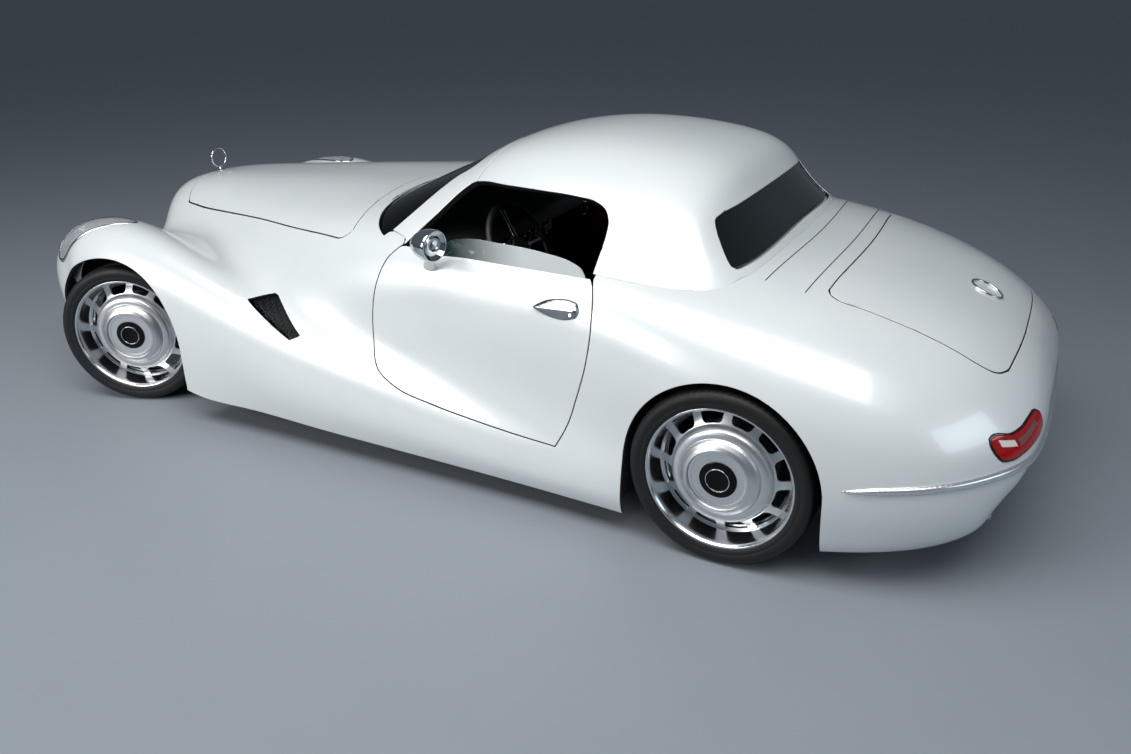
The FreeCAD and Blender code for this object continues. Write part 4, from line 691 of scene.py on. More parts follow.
def leather(start):
    """Hide: rounded cells for the grain, a slow drift of tone."""
    cells = start.node("ShaderNodeTexVoronoi", Vector=spot(start), Scale=420.0)
    drift = noise(start, 9.0)
    return {"Base Color": between(start, drift, linear("5a1414"), linear("701c1a")),
            "Roughness": ranged(drift, .42, .55),
            "Normal": bumped(start, cells, .25, .0006)}


# Where the painted sheen on the door glass fades in along Y: none before SHEEN_TO, full after
# SHEEN_FROM.
SHEEN_TO, SHEEN_FROM = .10, .40


def sheen_painted_glass(start):
    """Door glass: a painted sheen, pale at the back, clearing to deep green at the front."""
    place = spot(start).node("ShaderNodeSeparateXYZ", output=1, Vector=spot(start))
    share = start.node("ShaderNodeMapRange", i0=place, i1=SHEEN_TO, i2=SHEEN_FROM)
    return {"Base Color": between(start, share, linear("1d3b39"), linear("eef3f3")),
            "Roughness": ranged(noise(start, 8.0), .02, .05)}


def turned(start):
    """Lathe-turned metal: fine rings of tone by the distance stored in the piece."""
    ring = start.node("ShaderNodeAttribute", {"attribute_name": "ring"}, output=2)
    line = start.node("ShaderNodeTexNoise", {"noise_dimensions": "1D"}, W=ring, Scale=900.0)
    return {"Base Color": between(start, line, linear("d2d4d6"), linear("eeeff0")),
            "Roughness": ranged(line, .30, .42)}


paint = material("pearl paint", pearl, Metallic=.12, Coat_Weight=.8, Coat_Roughness=.06,
                 Coat_IOR=1.5)
under_paint = coat("panel back", "2a2c2e", "3a3d3f", .55, .7)
# Near-black fill for the deck grooves: painted shade.
groove_painted_shade = coat("groove shade", "1d2022", "2b2f31", .6, .8)
lining = coat("headlining", "1b1c1e", "242528", .85, .95, 60.0, .3, 900.0)
chrome = coat("chrome", "d4d8da", "e6e8ea", .04, .09, 12.0, Metallic=1.0)
satin = coat("satin metal", "a9acb0", "c2c5c8", .22, .32, 30.0, Metallic=1.0)
turned_metal = material("turned metal", turned, Metallic=1.0)
steel = coat("bare steel", "4b4d50", "66686b", .38, .52, 25.0, .1, Metallic=.9)
iron = coat("cast iron", "2b2b2c", "3c3b3a", .6, .75, 60.0, .5, 300.0, Metallic=.4)
rubber = coat("tyre rubber", "060607", "0e0e0f", .5, .68, 30.0, .25, 500.0)
black = coat("black plastic", "0b0c0d", "151617", .5, .62, 50.0, .3, 800.0)
gloss_black = coat("gloss black", "010101", "030303", .1, .16, 20.0, IOR=1.3)
rim_metal = coat("rim metal", "ced1d4", "e2e4e6", .16, .24, 30.0, Metallic=1.0)
grey_chrome = coat("grey chrome", "8f9397", "a9adb1", .12, .2, 30.0, Metallic=1.0)
strip_metal = coat("strip metal", "d6d9dc", "e8eaec", .2, .3, 30.0, Metallic=.8)
underbody = coat("underbody coat", "131415", "1e1f20", .75, .9, 30.0, .5, 200.0)
hide = material("red hide", leather)
dark_hide = coat("dark hide", "101012", "1a1a1c", .45, .58, 30.0, .35, 420.0)
carpet = coat("carpet", "141416", "202024", .9, 1.0, 200.0, .9, 1500.0)
glass = coat("tinted glass", "213834", "263e3a", .01, .03, 6.0, IOR=1.45,
                 Transmission_Weight=1.0)
# Rear window: opaque near-black glass, painted shade of the cabin behind it.
shade_painted_glass = coat("dark glass", "0a0f10", "0e1415", .03, .05, 6.0, IOR=1.5,
                      Coat_Weight=.5)
# Door glass: the pale sheen at its back is painted into the base colour.
sheen_painted_pane = material("door glass", sheen_painted_glass, IOR=1.45, Transmission_Weight=.35,
                     Coat_Weight=.8)
# Headlamp glass: the white share that does not let light through is a painted reflection.
lamp_glass_painted_reflection = coat("clear lamp glass", "eef3f6", "ffffff", .01, .03, 6.0, IOR=1.45,
                       Transmission_Weight=.72)
lamp_edge = coat("lamp border", "1c0304", "2a0506", .1, .2, 80.0, Coat_Weight=.5)
red_lens = coat("red lens", "9c0408", "ba060b", .05, .1, 80.0, Coat_Weight=.6)
white_lens = coat("pale lens", "efe6e2", "faf4f1", .08, .14, 80.0, Coat_Weight=1.0)
smoke_lens = coat("smoked lens", "74504e", "8a6663", .06, .1, 80.0, Coat_Weight=1.0)
satin_black = coat("satin black metal", "1a1b1d", "28292c", .25, .36, 30.0,
                       Metallic=.9)
silver = coat("mirror glass", "d8dee0", "e2e6e8", .015, .03, 8.0, Metallic=1.0)
dial = coat("dial face", "e8e4d8", "f4f1e8", .4, .5, 50.0)
print("materials", len(bpy.data.materials))

# %% [markdown]
# ## The body panels
# The wings, nose, scuttle, quarters and tail are fixed, and the bonnet, boot lid and doors hang in
# them with an even gap. Each panel is the skin cut by its own shut lines, less half the seam on
# its side, so both sides of a gap come from one outline.

# %% Body panels
SEAM = .004
half_seam = SEAM / 2
SKIN_DEPTH = .012
BODY_CELL = .028
UPPER = .5
SIDES = ((1, "left"), (-1, "right"))
FRONT_ARCH = (FRONT_Y + .0455, .390, .357)
REAR_ARCH = (REAR_Y, .338, .338)
ARCH_INNER = .600
DOOR_FROM = .3
GRILLE_BACK = -1.868
TAIL_LAMP_FRONT = 1.782


def arch(centre, half, height, side):
    """Positive outside a wheel opening: a half ellipse over the axle with straight sides below it,
    and only past the arch's inner side."""
    def field(p):
        rise = np.maximum(p[:, 2] - AXLE_Z, 0) * half / height
        return np.maximum(np.hypot(p[:, 1] - centre, rise) - half, ARCH_INNER - side * p[:, 0])
    return field


panel_cuts = [arch(*opening, side) for side in (1, -1) for opening in (FRONT_ARCH, REAR_ARCH)]
lower = beyond(2, UPPER, -1)
off_bonnet = either(outside(bonnet_line, "plan", SEAM), lower)
off_boot = either(outside(boot_line, "plan", SEAM), lower)
off_cabin = either(both(outside(cabin_line, "plan"), outside(screen_line, "plan", -SEAM)), lower)
off_doors = either(outside(door_line, "side", SEAM),
                   both(beyond(0, -DOOR_FROM), beyond(0, DOOR_FROM, -1)))
off_vent = outside(vent_line, "side")
off_grille = either(outside(grille_line, "end"), beyond(1, GRILLE_BACK))
LAMP_X, LAMP_Y, LAMP_Z, LAMP_RISE = .795, -1.75, .70, .015
LAMP_HALF, LAMP_REACH = .085, .215
LAMP_LEAN = math.radians(17.6)
LAMP_BEHIND, LAMP_INNER = -1.50, .6


def headlamp(side, grow=0.0):
    """Positive inside a headlamp: an ellipse that leans in and back, seen from ahead and above at
    45 degrees; the distance from its edge is 1 - q over the slope of q."""
    def field(p):
        x = side * p[:, 0] - LAMP_X
        s = (p[:, 1] - LAMP_Y + p[:, 2] - LAMP_Z) * .7071 + LAMP_RISE
        c, d = math.cos(LAMP_LEAN), math.sin(LAMP_LEAN)
        across = (x * c + s * d) / LAMP_HALF
        along = (s * c - x * d) / LAMP_REACH
        q = np.maximum(np.hypot(across, along), 1e-3)
        slope = np.hypot(across / LAMP_HALF, along / LAMP_REACH) / q
        ahead = np.minimum(LAMP_BEHIND - p[:, 1], side * p[:, 0] - LAMP_INNER)
        return np.minimum((1 - q) / slope + grow, ahead)
    return field


def lamp_out(side):
    """Positive outside one headlamp and one tail lamp."""
    front = opposite(headlamp(side))
    back = either(outside(tail_lamp_line * [side, 1], "end"), beyond(1, TAIL_LAMP_FRONT, -1))
    return both(front, back)


fixed_nodes = ["front_wing_left", "front_wing_right", "nose", "scuttle", "quarter_left",
               "quarter_right", "rear_deck", "tail_panel"]


PLATE_HALF_X, PLATE_HALF_Z, PLATE_Z, PLATE_CORNER, TAIL_FROM = .265, .0625, .4475, .02, 1.8


def round_box(a, b, corner):
    """The distance from a box with rounded corners, from the distances past its two pairs of
    sides."""
    a, b = a + corner, b + corner
    return np.hypot(np.maximum(a, 0), np.maximum(b, 0)) + np.minimum(np.maximum(a, b), 0) - corner


def plate_recess(p):
    """Positive outside the recess for a number plate, from behind."""
    away = round_box(np.abs(p[:, 0]) - PLATE_HALF_X, np.abs(p[:, 2] - PLATE_Z) - PLATE_HALF_Z,
                     PLATE_CORNER)
    return np.maximum(away, TAIL_FROM - p[:, 1])


specs = {"body": panel_cuts + [off_bonnet, off_boot, off_cabin, off_doors, off_vent, off_grille,
                               lamp_out(1), lamp_out(-1), plate_recess],
         "bonnet": [within(bonnet_line, "plan"), beyond(2, UPPER)],
         "boot_lid": [within(boot_line, "plan"), beyond(2, UPPER)]}
for side, word in SIDES:
    specs["door_" + word] = [beyond(0, 0, side), within(door_line, "side")]
bodies_of = {node: body for body, nodes in frame["record"]["behaviour"]["bodies"].items()
             for node in nodes}
made = {}
for name, fields in specs.items():
    made[name] = panel(name + " skin", body_skin, fields, BODY_CELL, SKIN_DEPTH,
                       [paint, under_paint, under_paint])
print("panels", len(made), "triangles", sum(len(o.data.polygons) for o in made.values()))

# %% [markdown]
# ## Roof, windscreen frame and glass
# The hard top lifts off, and the windscreen frame stays on the body. They share one surface, cut
# at the header joint, so the roof's line runs on over the joint. The glass is the same surface a
# little lower, cut by the window's own outline. The rear pane is opaque and near black: painted
# shade of the cabin behind it.

# %% Roof and glass
HEADER = .235 - SHIFT
ROOF_WALL, ROOF_ROUND, ROOF_CELL = .024, .003, .022
SCREEN_TO, REAR_HOLE_FROM, REAR_PANE_FROM = .2, .532, .60
MAP_CELL = .02


class Lowered(Skin):
    """A surface at a depth below another, along its normals."""

    def __init__(self, base, depth):
        super().__init__(base.net)
        self.base = base
        self.depth = depth

    def point(self, uv):
        return self.base.point(uv) - self.base.normal(uv) * self.depth

    def normal(self, uv):
        return self.base.normal(uv)


def over_body(margin, spread=0.0):
    """Positive where a point is higher than the body's skin straight below or above it, by a margin
    that grows with the square of x."""
    uv, _ = grid((0.15, 0.85), (0.12, 0.88), 150, 130)
    spots = body_skin.point(uv)
    low = spots[:, :2].min(0)
    size = np.ceil((spots[:, :2].max(0) - low) / MAP_CELL).astype(int) + 2
    height = np.full(size, np.nan)
    place = ((spots[:, :2] - low) / MAP_CELL).round().astype(int)
    order = np.argsort(spots[:, 2])
    height[place[order, 0], place[order, 1]] = spots[order, 2]
    for _ in range(8):
        empty = np.isnan(height)
        around = np.stack([np.roll(height, (i, j), (0, 1)) for i in (-1, 0, 1) for j in (-1, 0, 1)])
        height = np.where(empty, np.nanmean(around, axis=0), height)
    height = np.nan_to_num(height, nan=0.0)

    def field(p):
        where = (p[:, :2] - low) / MAP_CELL
        base = np.clip(np.floor(where).astype(int), 0, size - 2)
        part = np.clip(where - base, 0, 1)
        i, j = base.T
        a, b = part.T
        level = (height[i, j] * (1 - a) * (1 - b) + height[i + 1, j] * a * (1 - b)
                 + height[i, j + 1] * (1 - a) * b + height[i + 1, j + 1] * a * b)
        return p[:, 2] - level - margin - spread * p[:, 0]**2
    return field


off_side_window = outside(side_window_line, "side")
roof_looks = [paint, lining, black]
made["hard_top"] = panel("hard top skin", roof_skin, [
    beyond(1, HEADER + half_seam), off_side_window,
    either(outside(rear_window_line, "end"), beyond(1, REAR_HOLE_FROM, -1)), over_body(.001)],
    ROOF_CELL, ROOF_WALL, roof_looks, ROOF_ROUND)
made["screen_frame"] = panel("screen frame skin", roof_skin, [
    beyond(1, HEADER - half_seam, -1), off_side_window, outside(screen_line, "plan"), off_doors,
    either(over_body(.003, .005), within(cabin_line, "plan"))],
    ROOF_CELL, ROOF_WALL, roof_looks, ROOF_ROUND)
glazing = Lowered(roof_skin, .0095)
# The rear pane is opaque near-black glass: painted shade.
for name, node, line, way, far, look in (
        ("windscreen", "windscreen", screen_line, "plan", beyond(1, SCREEN_TO, -1), glass),
        ("rear window", "rear_window", rear_window_line, "end", beyond(1, REAR_PANE_FROM),
         shade_painted_glass)):
    made[node] = panel(name + " pane", glazing, [within(line, way, -.0005), far], ROOF_CELL, .005,
                       look, .001)
print("roof and glass", [len(made[n].data.polygons) for n in ("hard_top", "screen_frame")])

# %% [markdown]
# ## What moves with what
# Doors, lids, roof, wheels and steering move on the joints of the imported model. A new piece takes
# the place of its CAD node and rides that node's body, so a pose moves both alike.

# %% Riding the bodies
def go_with(node, piece, *more):
    """A new piece takes the place of its CAD node; it and more pieces move with that node's
    body."""
    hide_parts(node)
    for other in (piece,) + more:
        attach(other, bodies_of[node])


for node in list(specs)[1:] + ["hard_top", "windscreen", "rear_window"]:
    go_with(node, made[node])
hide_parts(*fixed_nodes)
for piece in (made["body"], made["screen_frame"]):
    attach(piece, "body")

# %% [markdown]
# ## The wheel's disc and rings
# The wheel is turned metal with twelve rounded windows. It could be spun from a profile and cut by
# booleans. Here a surface carries the profile round the axle, and a field in the wheel's own angle
# cuts all the windows from one formula.

# %% Discs and rings
def about_axle(x, r, turn):
    """Depth along X; radius times sine and cosine of the turn across it."""
    return np.stack([x * np.ones_like(turn), r * np.sin(turn), r * np.cos(turn)], -1)


class Turned:
    """A surface of revolution: u runs along a profile of depths and radii, v once round X."""

    def __init__(self, profile):
        self.profile = np.array(profile, float)
        chord = np.linalg.norm(np.diff(self.profile, axis=0), axis=1)
        self.along = np.concatenate([[0], np.cumsum(chord)]) / chord.sum()

    def flat(self, u):
        """The depth and radius at a share of the profile's length."""
        return np.stack([np.interp(u, self.along, self.profile[:, k]) for k in (0, 1)], 1)

    def point(self, uv):
        return about_axle(*self.flat(uv[:, 0]).T, uv[:, 1] * 2 * np.pi)

    def normal(self, uv):
        """The profile's own normal carried round the axle."""
        step = .08 / len(self.profile)
        way = unit(self.flat(np.clip(uv[:, 0] + step, 0, 1))
                   - self.flat(np.clip(uv[:, 0] - step, 0, 1)))
        return about_axle(way[:, 1], -way[:, 0], uv[:, 1] * 2 * np.pi)


def rounded_profile(points, radius, steps=3):
    """A profile whose corners are each swapped for a short quadratic curve."""
    points = np.array(points, float)
    out = [points[:1]]
    for before, here, after in zip(points[:-2], points[1:-1], points[2:]):
        reach = min(radius, np.linalg.norm(here - before) * .45, np.linalg.norm(after - here) * .45)
        start = here + unit(before - here) * reach
        end = here + unit(after - here) * reach
        t = np.linspace(0, 1, steps)[:, None]
        out.append((1 - t)**2 * start + 2 * t * (1 - t) * here + t**2 * end)
    out.append(points[-1:])
    return np.concatenate(out)


def ring_faces(count, around, wrap=False):
    """Quads from one ring of points to the next, and from the last to the first where they wrap."""
    near = np.arange(count if wrap else count - 1)[:, None] * around
    far = (near + around) % (count * around)
    j = np.arange(around)[None]
    k = (j + 1) % around
    corners = (near + j, near + k, far + k, far + j)
    return np.stack([corner.ravel() for corner in corners], 1)


def lathe(profile, around, radius):
    """A profile of depths and radii, its corners rounded, turned round X: points and quads."""
    flat = rounded_profile(profile, radius)
    turn = full_turn(around)
    points = about_axle(flat[:, :1], flat[:, 1:], turn).reshape(-1, 3)
    return points, ring_faces(len(flat), around)[:, [0, 3, 2, 1]]


disc_skin = Turned([(-.090, .232), (-.088, .226), (-.080, .205), (-.068, .186), (-.062, .172),
                    (-.055, .166), (-.040, .163), (-.033, .158), (-.030, .150), (-.029, .142),
                    (-.033, .139), (-.034, .136), (-.031, .133), (-.020, .126), (-.010, .113),
                    (-.005, .102), (-.0045, .094), (-.006, .090), (-.0068, .06), (-.007, .0005)])


WINDOWS = 12
WINDOW_HALF, WINDOW_SPREAD, WINDOW_REACH, WINDOW_CORNER = .0375, .25, .0265, .014
WINDOW_RADIUS, SPREAD_RADIUS = .2025, .2
DISC_SPLIT = .62


def window_field(p):
    """Positive outside the windows: in the angle from the nearest window's middle and the radius,
    a box with rounded corners, wider towards the rim."""
    radius = np.hypot(p[:, 1], p[:, 2])
    pitch = 2 * np.pi / WINDOWS
    angle = np.arctan2(p[:, 1], p[:, 2]) + pitch / 2
    off = (angle + pitch / 2) % pitch - pitch / 2
    across = np.abs(off) * radius - (WINDOW_HALF + (radius - SPREAD_RADIUS) * WINDOW_SPREAD)
    return round_box(across, np.abs(radius - WINDOW_RADIUS) - WINDOW_REACH, WINDOW_CORNER)


net = clip(disc_skin, *grid((0, DISC_SPLIT), (0, 1), 42, 241), window_field)
disc = plate(disc_skin, net, .009, .0025)[:3]
uv, tris = grid((DISC_SPLIT, 1), (0, 1), 30, 145)
dish = (disc_skin.point(uv), tris, disc_skin.normal(uv))
barrel = lathe([(-.002, .2455), (0, .249), (-.001, .2525), (-.0075, .2525), (-.014, .2425),
                (-.067, .2415), (-.0835, .2155), (-.1425, .2155), (-.160, .2415), (-.212, .2415),
                (-.2185, .2525), (-.226, .2525), (-.226, .2425), (-.210, .236), (-.160, .233),
                (-.142, .2085), (-.095, .2085), (-.086, .226), (-.040, .2355), (-.010, .2395),
                (-.002, .2455)], 144, .003)
centre = lathe([(-.0075, .0635), (-.004, .0635), (-.0025, .061), (-.003, .0435), (-.0025, .043),
                (.0000, .0425), (.0008, .0405), (.0008, .0385), (-.0005, .0365), (-.003, .036),
                (-.0025, .0005)], 96, .0008)
cap_ring = lathe([(.0002, .0414), (.0016, .0410), (.0020, .0400), (.0016, .0388),
                  (.0002, .0382)], 72, .0004)
brake = lathe([(-.105, .06), (-.105, .168), (-.112, .168), (-.112, .160), (-.122, .160),
               (-.122, .168), (-.129, .168), (-.129, .06)], 96, .001)
hub = lathe([(-.016, .09), (-.050, .078), (-.105, .078), (-.105, .03), (-.180, .03),
             (-.180, .001)], 48, .002)

# %% [markdown]
# ## Tyres
# A low tyre shows sidewall rings, four grooves and many fine slits over the shoulder. A bump would
# vanish from the exported mesh, so the outline itself is turned round the axle and its radius
# drops in slanted slits.

# %% Tyres
TYRE_WIDTH, GROOVE_FOOT, GROOVE_HALF = .226, .3085, .0062
SIPES, SIPE_SLANT, SIPE_DEPTH, SHOULDER = 82, 3.0, .0030, .3055
SIDEWALL = [(-.0155, .2415), (-.006, .2475), (.0, .2525), (.0035, .259), (.0058, .268),
            (.0048, .2705), (.0062, .2725), (.0078, .279), (.0088, .288), (.0070, .2945),
            (.0035, .3005), (-.0020, .3062), (-.0100, .3105), (-.0220, .3131), (-.0400, .3143)]


def tyre_rows():
    """A tyre's outline from the outer bead over the tread to the inner bead, with two sidewall
    rings, a raised rim guard and four grooves."""
    grooves = []
    for middle in (-.0560, -.0930):
        grooves += [(middle + GROOVE_HALF, .3147), (middle + .0045, GROOVE_FOOT),
                    (middle - .0045, GROOVE_FOOT), (middle - GROOVE_HALF, .3149)]
    outer = np.array(SIDEWALL + grooves)
    inner = outer[::-1].copy()
    inner[:, 0] = -TYRE_WIDTH - inner[:, 0]
    return np.concatenate([outer, inner])


def tyre_mesh():
    """The outline turned round the axle; the radius drops in slanted sipes over the shoulder."""
    flat = rounded_profile(tyre_rows(), .0012, 2)
    around = 4 * SIPES
    turn = full_turn(around)[None]
    x, r = flat[:, :1], flat[:, 1:]
    off = x + TYRE_WIDTH / 2
    wave = np.cos((turn + off * np.sign(off) * SIPE_SLANT) * SIPES)
    on = np.clip((r - SHOULDER) / .003, 0, 1)
    r = r - on * SIPE_DEPTH * np.clip((wave - .55) * 4, 0, 1)
    return (about_axle(x, r, turn).reshape(-1, 3),
            ring_faces(len(flat), around)[:, [0, 3, 2, 1]])


tyre_points, tyre_faces = tyre_mesh()
print("tyre points", len(tyre_points))

# %% [markdown]
# ## Wheels in their places
# All four corners use the same points: the right side is turned half round, so the windows still
# face outwards, and a front wheel is turned about its steering axis as on the photo.

# %% Placing the wheels
FRONT_FACE, REAR_FACE, PIN_X = .912, .923, .755
STEERED = math.radians(22.5)


def turned_way(vectors, side, front):
    """Directions as they stand at a corner: the right side turned half round, a front wheel turned
    about its steering axis."""
    way = vectors * np.array([side, side, 1])
    return spun(way, STEERED, 2) if front else way


def placed(points, side, front):
    """Wheel points moved to their corner, the wheel's face set out from the steering axis."""
    face = (FRONT_FACE if front else REAR_FACE) - PIN_X
    return (turned_way(points + [face, 0, 0], side, front)
            + [side * PIN_X, FRONT_Y if front else REAR_Y, AXLE_Z])


def keep_ring(piece, points):
    """The distance from the axle of each point of the wheel, stored for the turned metal."""
    store = piece.data.attributes.new("ring", "FLOAT", "POINT")
    store.data.foreach_set("value", np.hypot(points[:, 1], points[:, 2]).astype(np.float32))


wheel_pieces = [("rim", barrel, rim_metal), ("wheel centre", centre, gloss_black),
                ("wheel cap ring", cap_ring, chrome), ("brake disc", brake, steel),
                ("hub", hub, iron), ("wheel disc", disc, turned_metal),
                ("wheel dish", dish, turned_metal)]
for front, end in ((True, "front"), (False, "rear")):
    for side, word in SIDES:
        corner = end + "_" + word
        parts = []
        for label, (points, faces, *normals), look in wheel_pieces:
            ways = turned_way(normals[0], side, front) if normals else None
            parts.append(build(label + " " + corner, placed(points, side, front), faces, look,
                               ways))
            keep_ring(parts[-1], points)
        go_with("wheel_" + corner, *parts)
        go_with("tyre_" + corner, build("tyre " + corner, placed(tyre_points, side, front),
                                        tyre_faces, rubber))
print("wheel pieces", len(parts), "tyre faces", len(tyre_faces))

# %% [markdown]
# ## Raised strips, tubes and lofts
# Bright trim is thin pressed metal with a round face. Curves with a bevel could stand for it, but
# they don't follow the body. A strip here is a patch of the skin raised on a half-round: its lift
# grows with the distance from its own edge.

# %% Trim helpers
SUNK = .0006


def raised(skin, net, field, height, width):
    """Points of a patch lifted along the normal by height times the quarter-round of the distance
    from the edge over width, with normals from the lifted surface itself."""
    uv, tris = net

    def lifted(places):
        spots = skin.point(places)
        share = np.clip(field(spots) / width, 0, 1)
        rise = height * np.sqrt(np.maximum(1 - (1 - share)**2, 0))
        return spots + skin.normal(places) * (rise - SUNK)[:, None]

    spots = lifted(uv)
    a, b, c = spots[tris.T]
    flat = unit(np.cross(b - a, c - a))
    out = skin.normal(uv)
    sign = np.sign((flat * out[tris[:, 0]]).sum(1))[:, None]
    total = np.zeros_like(spots)
    for corner in range(3):
        np.add.at(total, tris[:, corner], flat * sign)
    tris = np.where(sign > 0, tris, tris[:, ::-1])
    return spots, tris, unit(total)


def strip(name, skin, fields, shape, height, width, look, cell):
    """A raised bright piece from the fields that bound it."""
    net = patch(skin, fields + [shape], cell)
    points, faces, normals = raised(skin, net, shape, height, width)
    return build(name, points, faces, look, normals)


def tube(path, radius, around=12):
    """A round tube along a closed path, its rings set across the path's own direction."""
    path = np.array(path, float)
    ahead = unit(np.roll(path, -1, 0) - np.roll(path, 1, 0))
    side = np.cross(ahead, [0, 0, 1])
    weak = np.linalg.norm(side, axis=1) < .1
    side[weak] = np.cross(ahead[weak], [1, 0, 0])
    side = unit(side)
    up = np.cross(side, ahead)
    turn = full_turn(around)[None, :, None]
    points = path[:, None] + radius * (side[:, None] * np.cos(turn) + up[:, None] * np.sin(turn))
    return points.reshape(-1, 3), ring_faces(len(path), around, True)


def loft(rings, closed_ends=True):
    """Rings of the same number of points, joined one to the next, with fans over the ends."""
    rings = np.array(rings)
    count, around = rings.shape[:2]
    points = rings.reshape(-1, 3)
    faces = ring_faces(count, around)
    if closed_ends:
        points = np.concatenate([points, rings[0].mean(0)[None], rings[-1].mean(0)[None]])
        j = np.arange(around)
        k = (j + 1) % around
        first = np.stack([j, np.full(around, len(points) - 2), k], 1)
        last = np.stack([j, k, np.full(around, len(points) - 1)], 1)
        last[:, :2] += (count - 1) * around
        return points, faces.tolist() + first.tolist() + last.tolist()
    return points, faces


def block(rows, around, power):
    """A rounded body with half sizes of 1: each coordinate is a signed power of sine and cosine."""
    def soft(value):
        return np.sign(value) * np.abs(value) ** power
    up = np.linspace(-np.pi / 2, np.pi / 2, rows)[1:-1, None]
    turn = full_turn(around)[None]
    return loft(np.stack([soft(np.cos(up)) * soft(np.cos(turn)),
                          soft(np.cos(up)) * soft(np.sin(turn)),
                          soft(np.sin(up)) * np.ones_like(turn)], 2))

# %% [markdown]
# ## Headlamps and tail lamps
# A headlamp is an oval that lies along the wing's crest under glass with a pale painted
# reflection in its colour. Its ring, glass and bowl are cut from the body's skin at three depths,
# so they follow the wing. A tail lamp is a border and lenses of three tints, cut from the skin in
# the same way.

# %% Lamps
# Headlamps: a bright ring, glass with a pale painted reflection, a bowl behind it and three cups
# in the bowl. Tail lamps: a dark border, a red lens and two more lenses let into it.
LENSES = {"pale lens": [(.664, .527), (.609, .513), (.603, .491), (.660, .504)],
          "inner lens": [(.598, .512), (.570, .515), (.487, .540), (.482, .522), (.570, .492),
                         (.596, .489)]}
CUPS = ((.770, .745, .036), (.800, .655, .042), (.815, .585, .026))
CUP_FRONT, CUP_SINK = -1.6, .024
TAIL_CELL = .005
bowl_skin = Lowered(body_skin, .040)
front_parts, tail_parts = [], []
for side, word in SIDES:
    mirror = np.array([side, 1])
    inside = headlamp(side, -.001)
    ring = both(inside, opposite(headlamp(side, -.011)))
    front_parts += [
        strip("lamp ring " + word, body_skin, [inside], ring, .004, .005, chrome, .004),
        panel("lamp glass " + word, body_skin, [headlamp(side, -.010)], .01, .004, lamp_glass_painted_reflection,
              .001),
        panel("lamp bowl " + word, bowl_skin, [headlamp(side, .002)], .012, .003, strip_metal,
              .001)]
    uv = grid((.05, .25), (.5, .98), 120, 160)[0]
    spots = body_skin.point(uv)
    for number, (x, z, radius) in enumerate(CUPS):
        near = np.argmin(np.hypot(spots[:, 0] - x, spots[:, 2] - z)
                         + np.maximum(spots[:, 1] - CUP_FRONT, 0))
        way = body_skin.normal(uv[near:near + 1])[0]
        points, faces = lathe([(.010, radius), (.014, radius * .96), (.012, radius * .90),
                               (-.012, radius * .45), (-.012, .0004)], 48, .002)
        level = unit(np.cross(way, [0, 0, 1]))
        upward = np.cross(level, way)
        cup = (spots[near] - way * CUP_SINK + points[:, :1] * way + points[:, 1:2] * level
               + points[:, 2:] * upward) * np.array([side, 1, 1])
        front_parts.append(build("lamp cup %s %d" % (word, number), cup, faces, chrome))
    line = tail_lamp_line * mirror
    back = beyond(1, TAIL_LAMP_FRONT)
    spaces = [within(np.array(points) * mirror, "end") for points in LENSES.values()]
    tail_parts += [
        panel("tail border " + word, body_skin, [back, within(line, "end", -.001),
              outside(line, "end", -.007)], TAIL_CELL, .010, lamp_edge, .0015, .003),
        panel("tail lens " + word, body_skin, [back, within(line, "end", -.0065)]
              + [opposite(space) for space in spaces], TAIL_CELL, .012, red_lens, .002, .005)]
    for label, look, space in zip(LENSES, (white_lens, smoke_lens), spaces):
        tail_parts.append(panel(label + " " + word, body_skin, [back, space], TAIL_CELL, .010,
                                look, .001, .003))
go_with("headlamps", *front_parts)
go_with("tail_lamps", *tail_parts)

print("lamp pieces", len(front_parts) + len(tail_parts))

# %% [markdown]
# ## Grille
# Upright bars with dark space behind them, in a bright frame. Each bar is a strip of the skin at a
# small depth, so the row of bars is as round as the nose.

# %% Grille
# Grille: a bright surround and upright bars with a dark space behind them.
rim = both(within(grille_line, "end", -.0005), outside(grille_line, "end", -.0145))
ahead = [beyond(1, GRILLE_BACK, -1)]
surround = strip("grille surround", body_skin, ahead, rim, .0045, .007, chrome, .005)
bar_skin = Lowered(body_skin, .010)
BARS, BAR_PITCH, BAR_HALF = 13, .0264, .0042
bars = []
for number in range(BARS):
    middle = (number - BARS // 2) * BAR_PITCH
    bar = both(beyond(0, middle - BAR_HALF), beyond(0, middle + BAR_HALF, -1),
               within(grille_line, "end", -.004))
    bars.append(strip("grille bar %d" % number, bar_skin, ahead, bar, .008, BAR_HALF, chrome,
                      BAR_HALF))
bars.append(panel("grille backing", Lowered(body_skin, .024),
                  ahead + [within(grille_line, "end", .001)], .03, .002, black, .0005))
go_with("grille", surround, *bars)

print("grille bars", len(bars))

# %% [markdown]
# ## Side vents
# A vent behind each front wheel is filled with a mesh of six-sided holes. An array of small cells
# would not follow the skin; a field of the distance to the nearest hole cuts them all from it.

# %% Vents
# Side vents: a honeycomb of thin walls under the skin.
HOLE_PITCH, HALF_WALL = .0185, .0019
VENT_COS, VENT_SIN = .92, .39


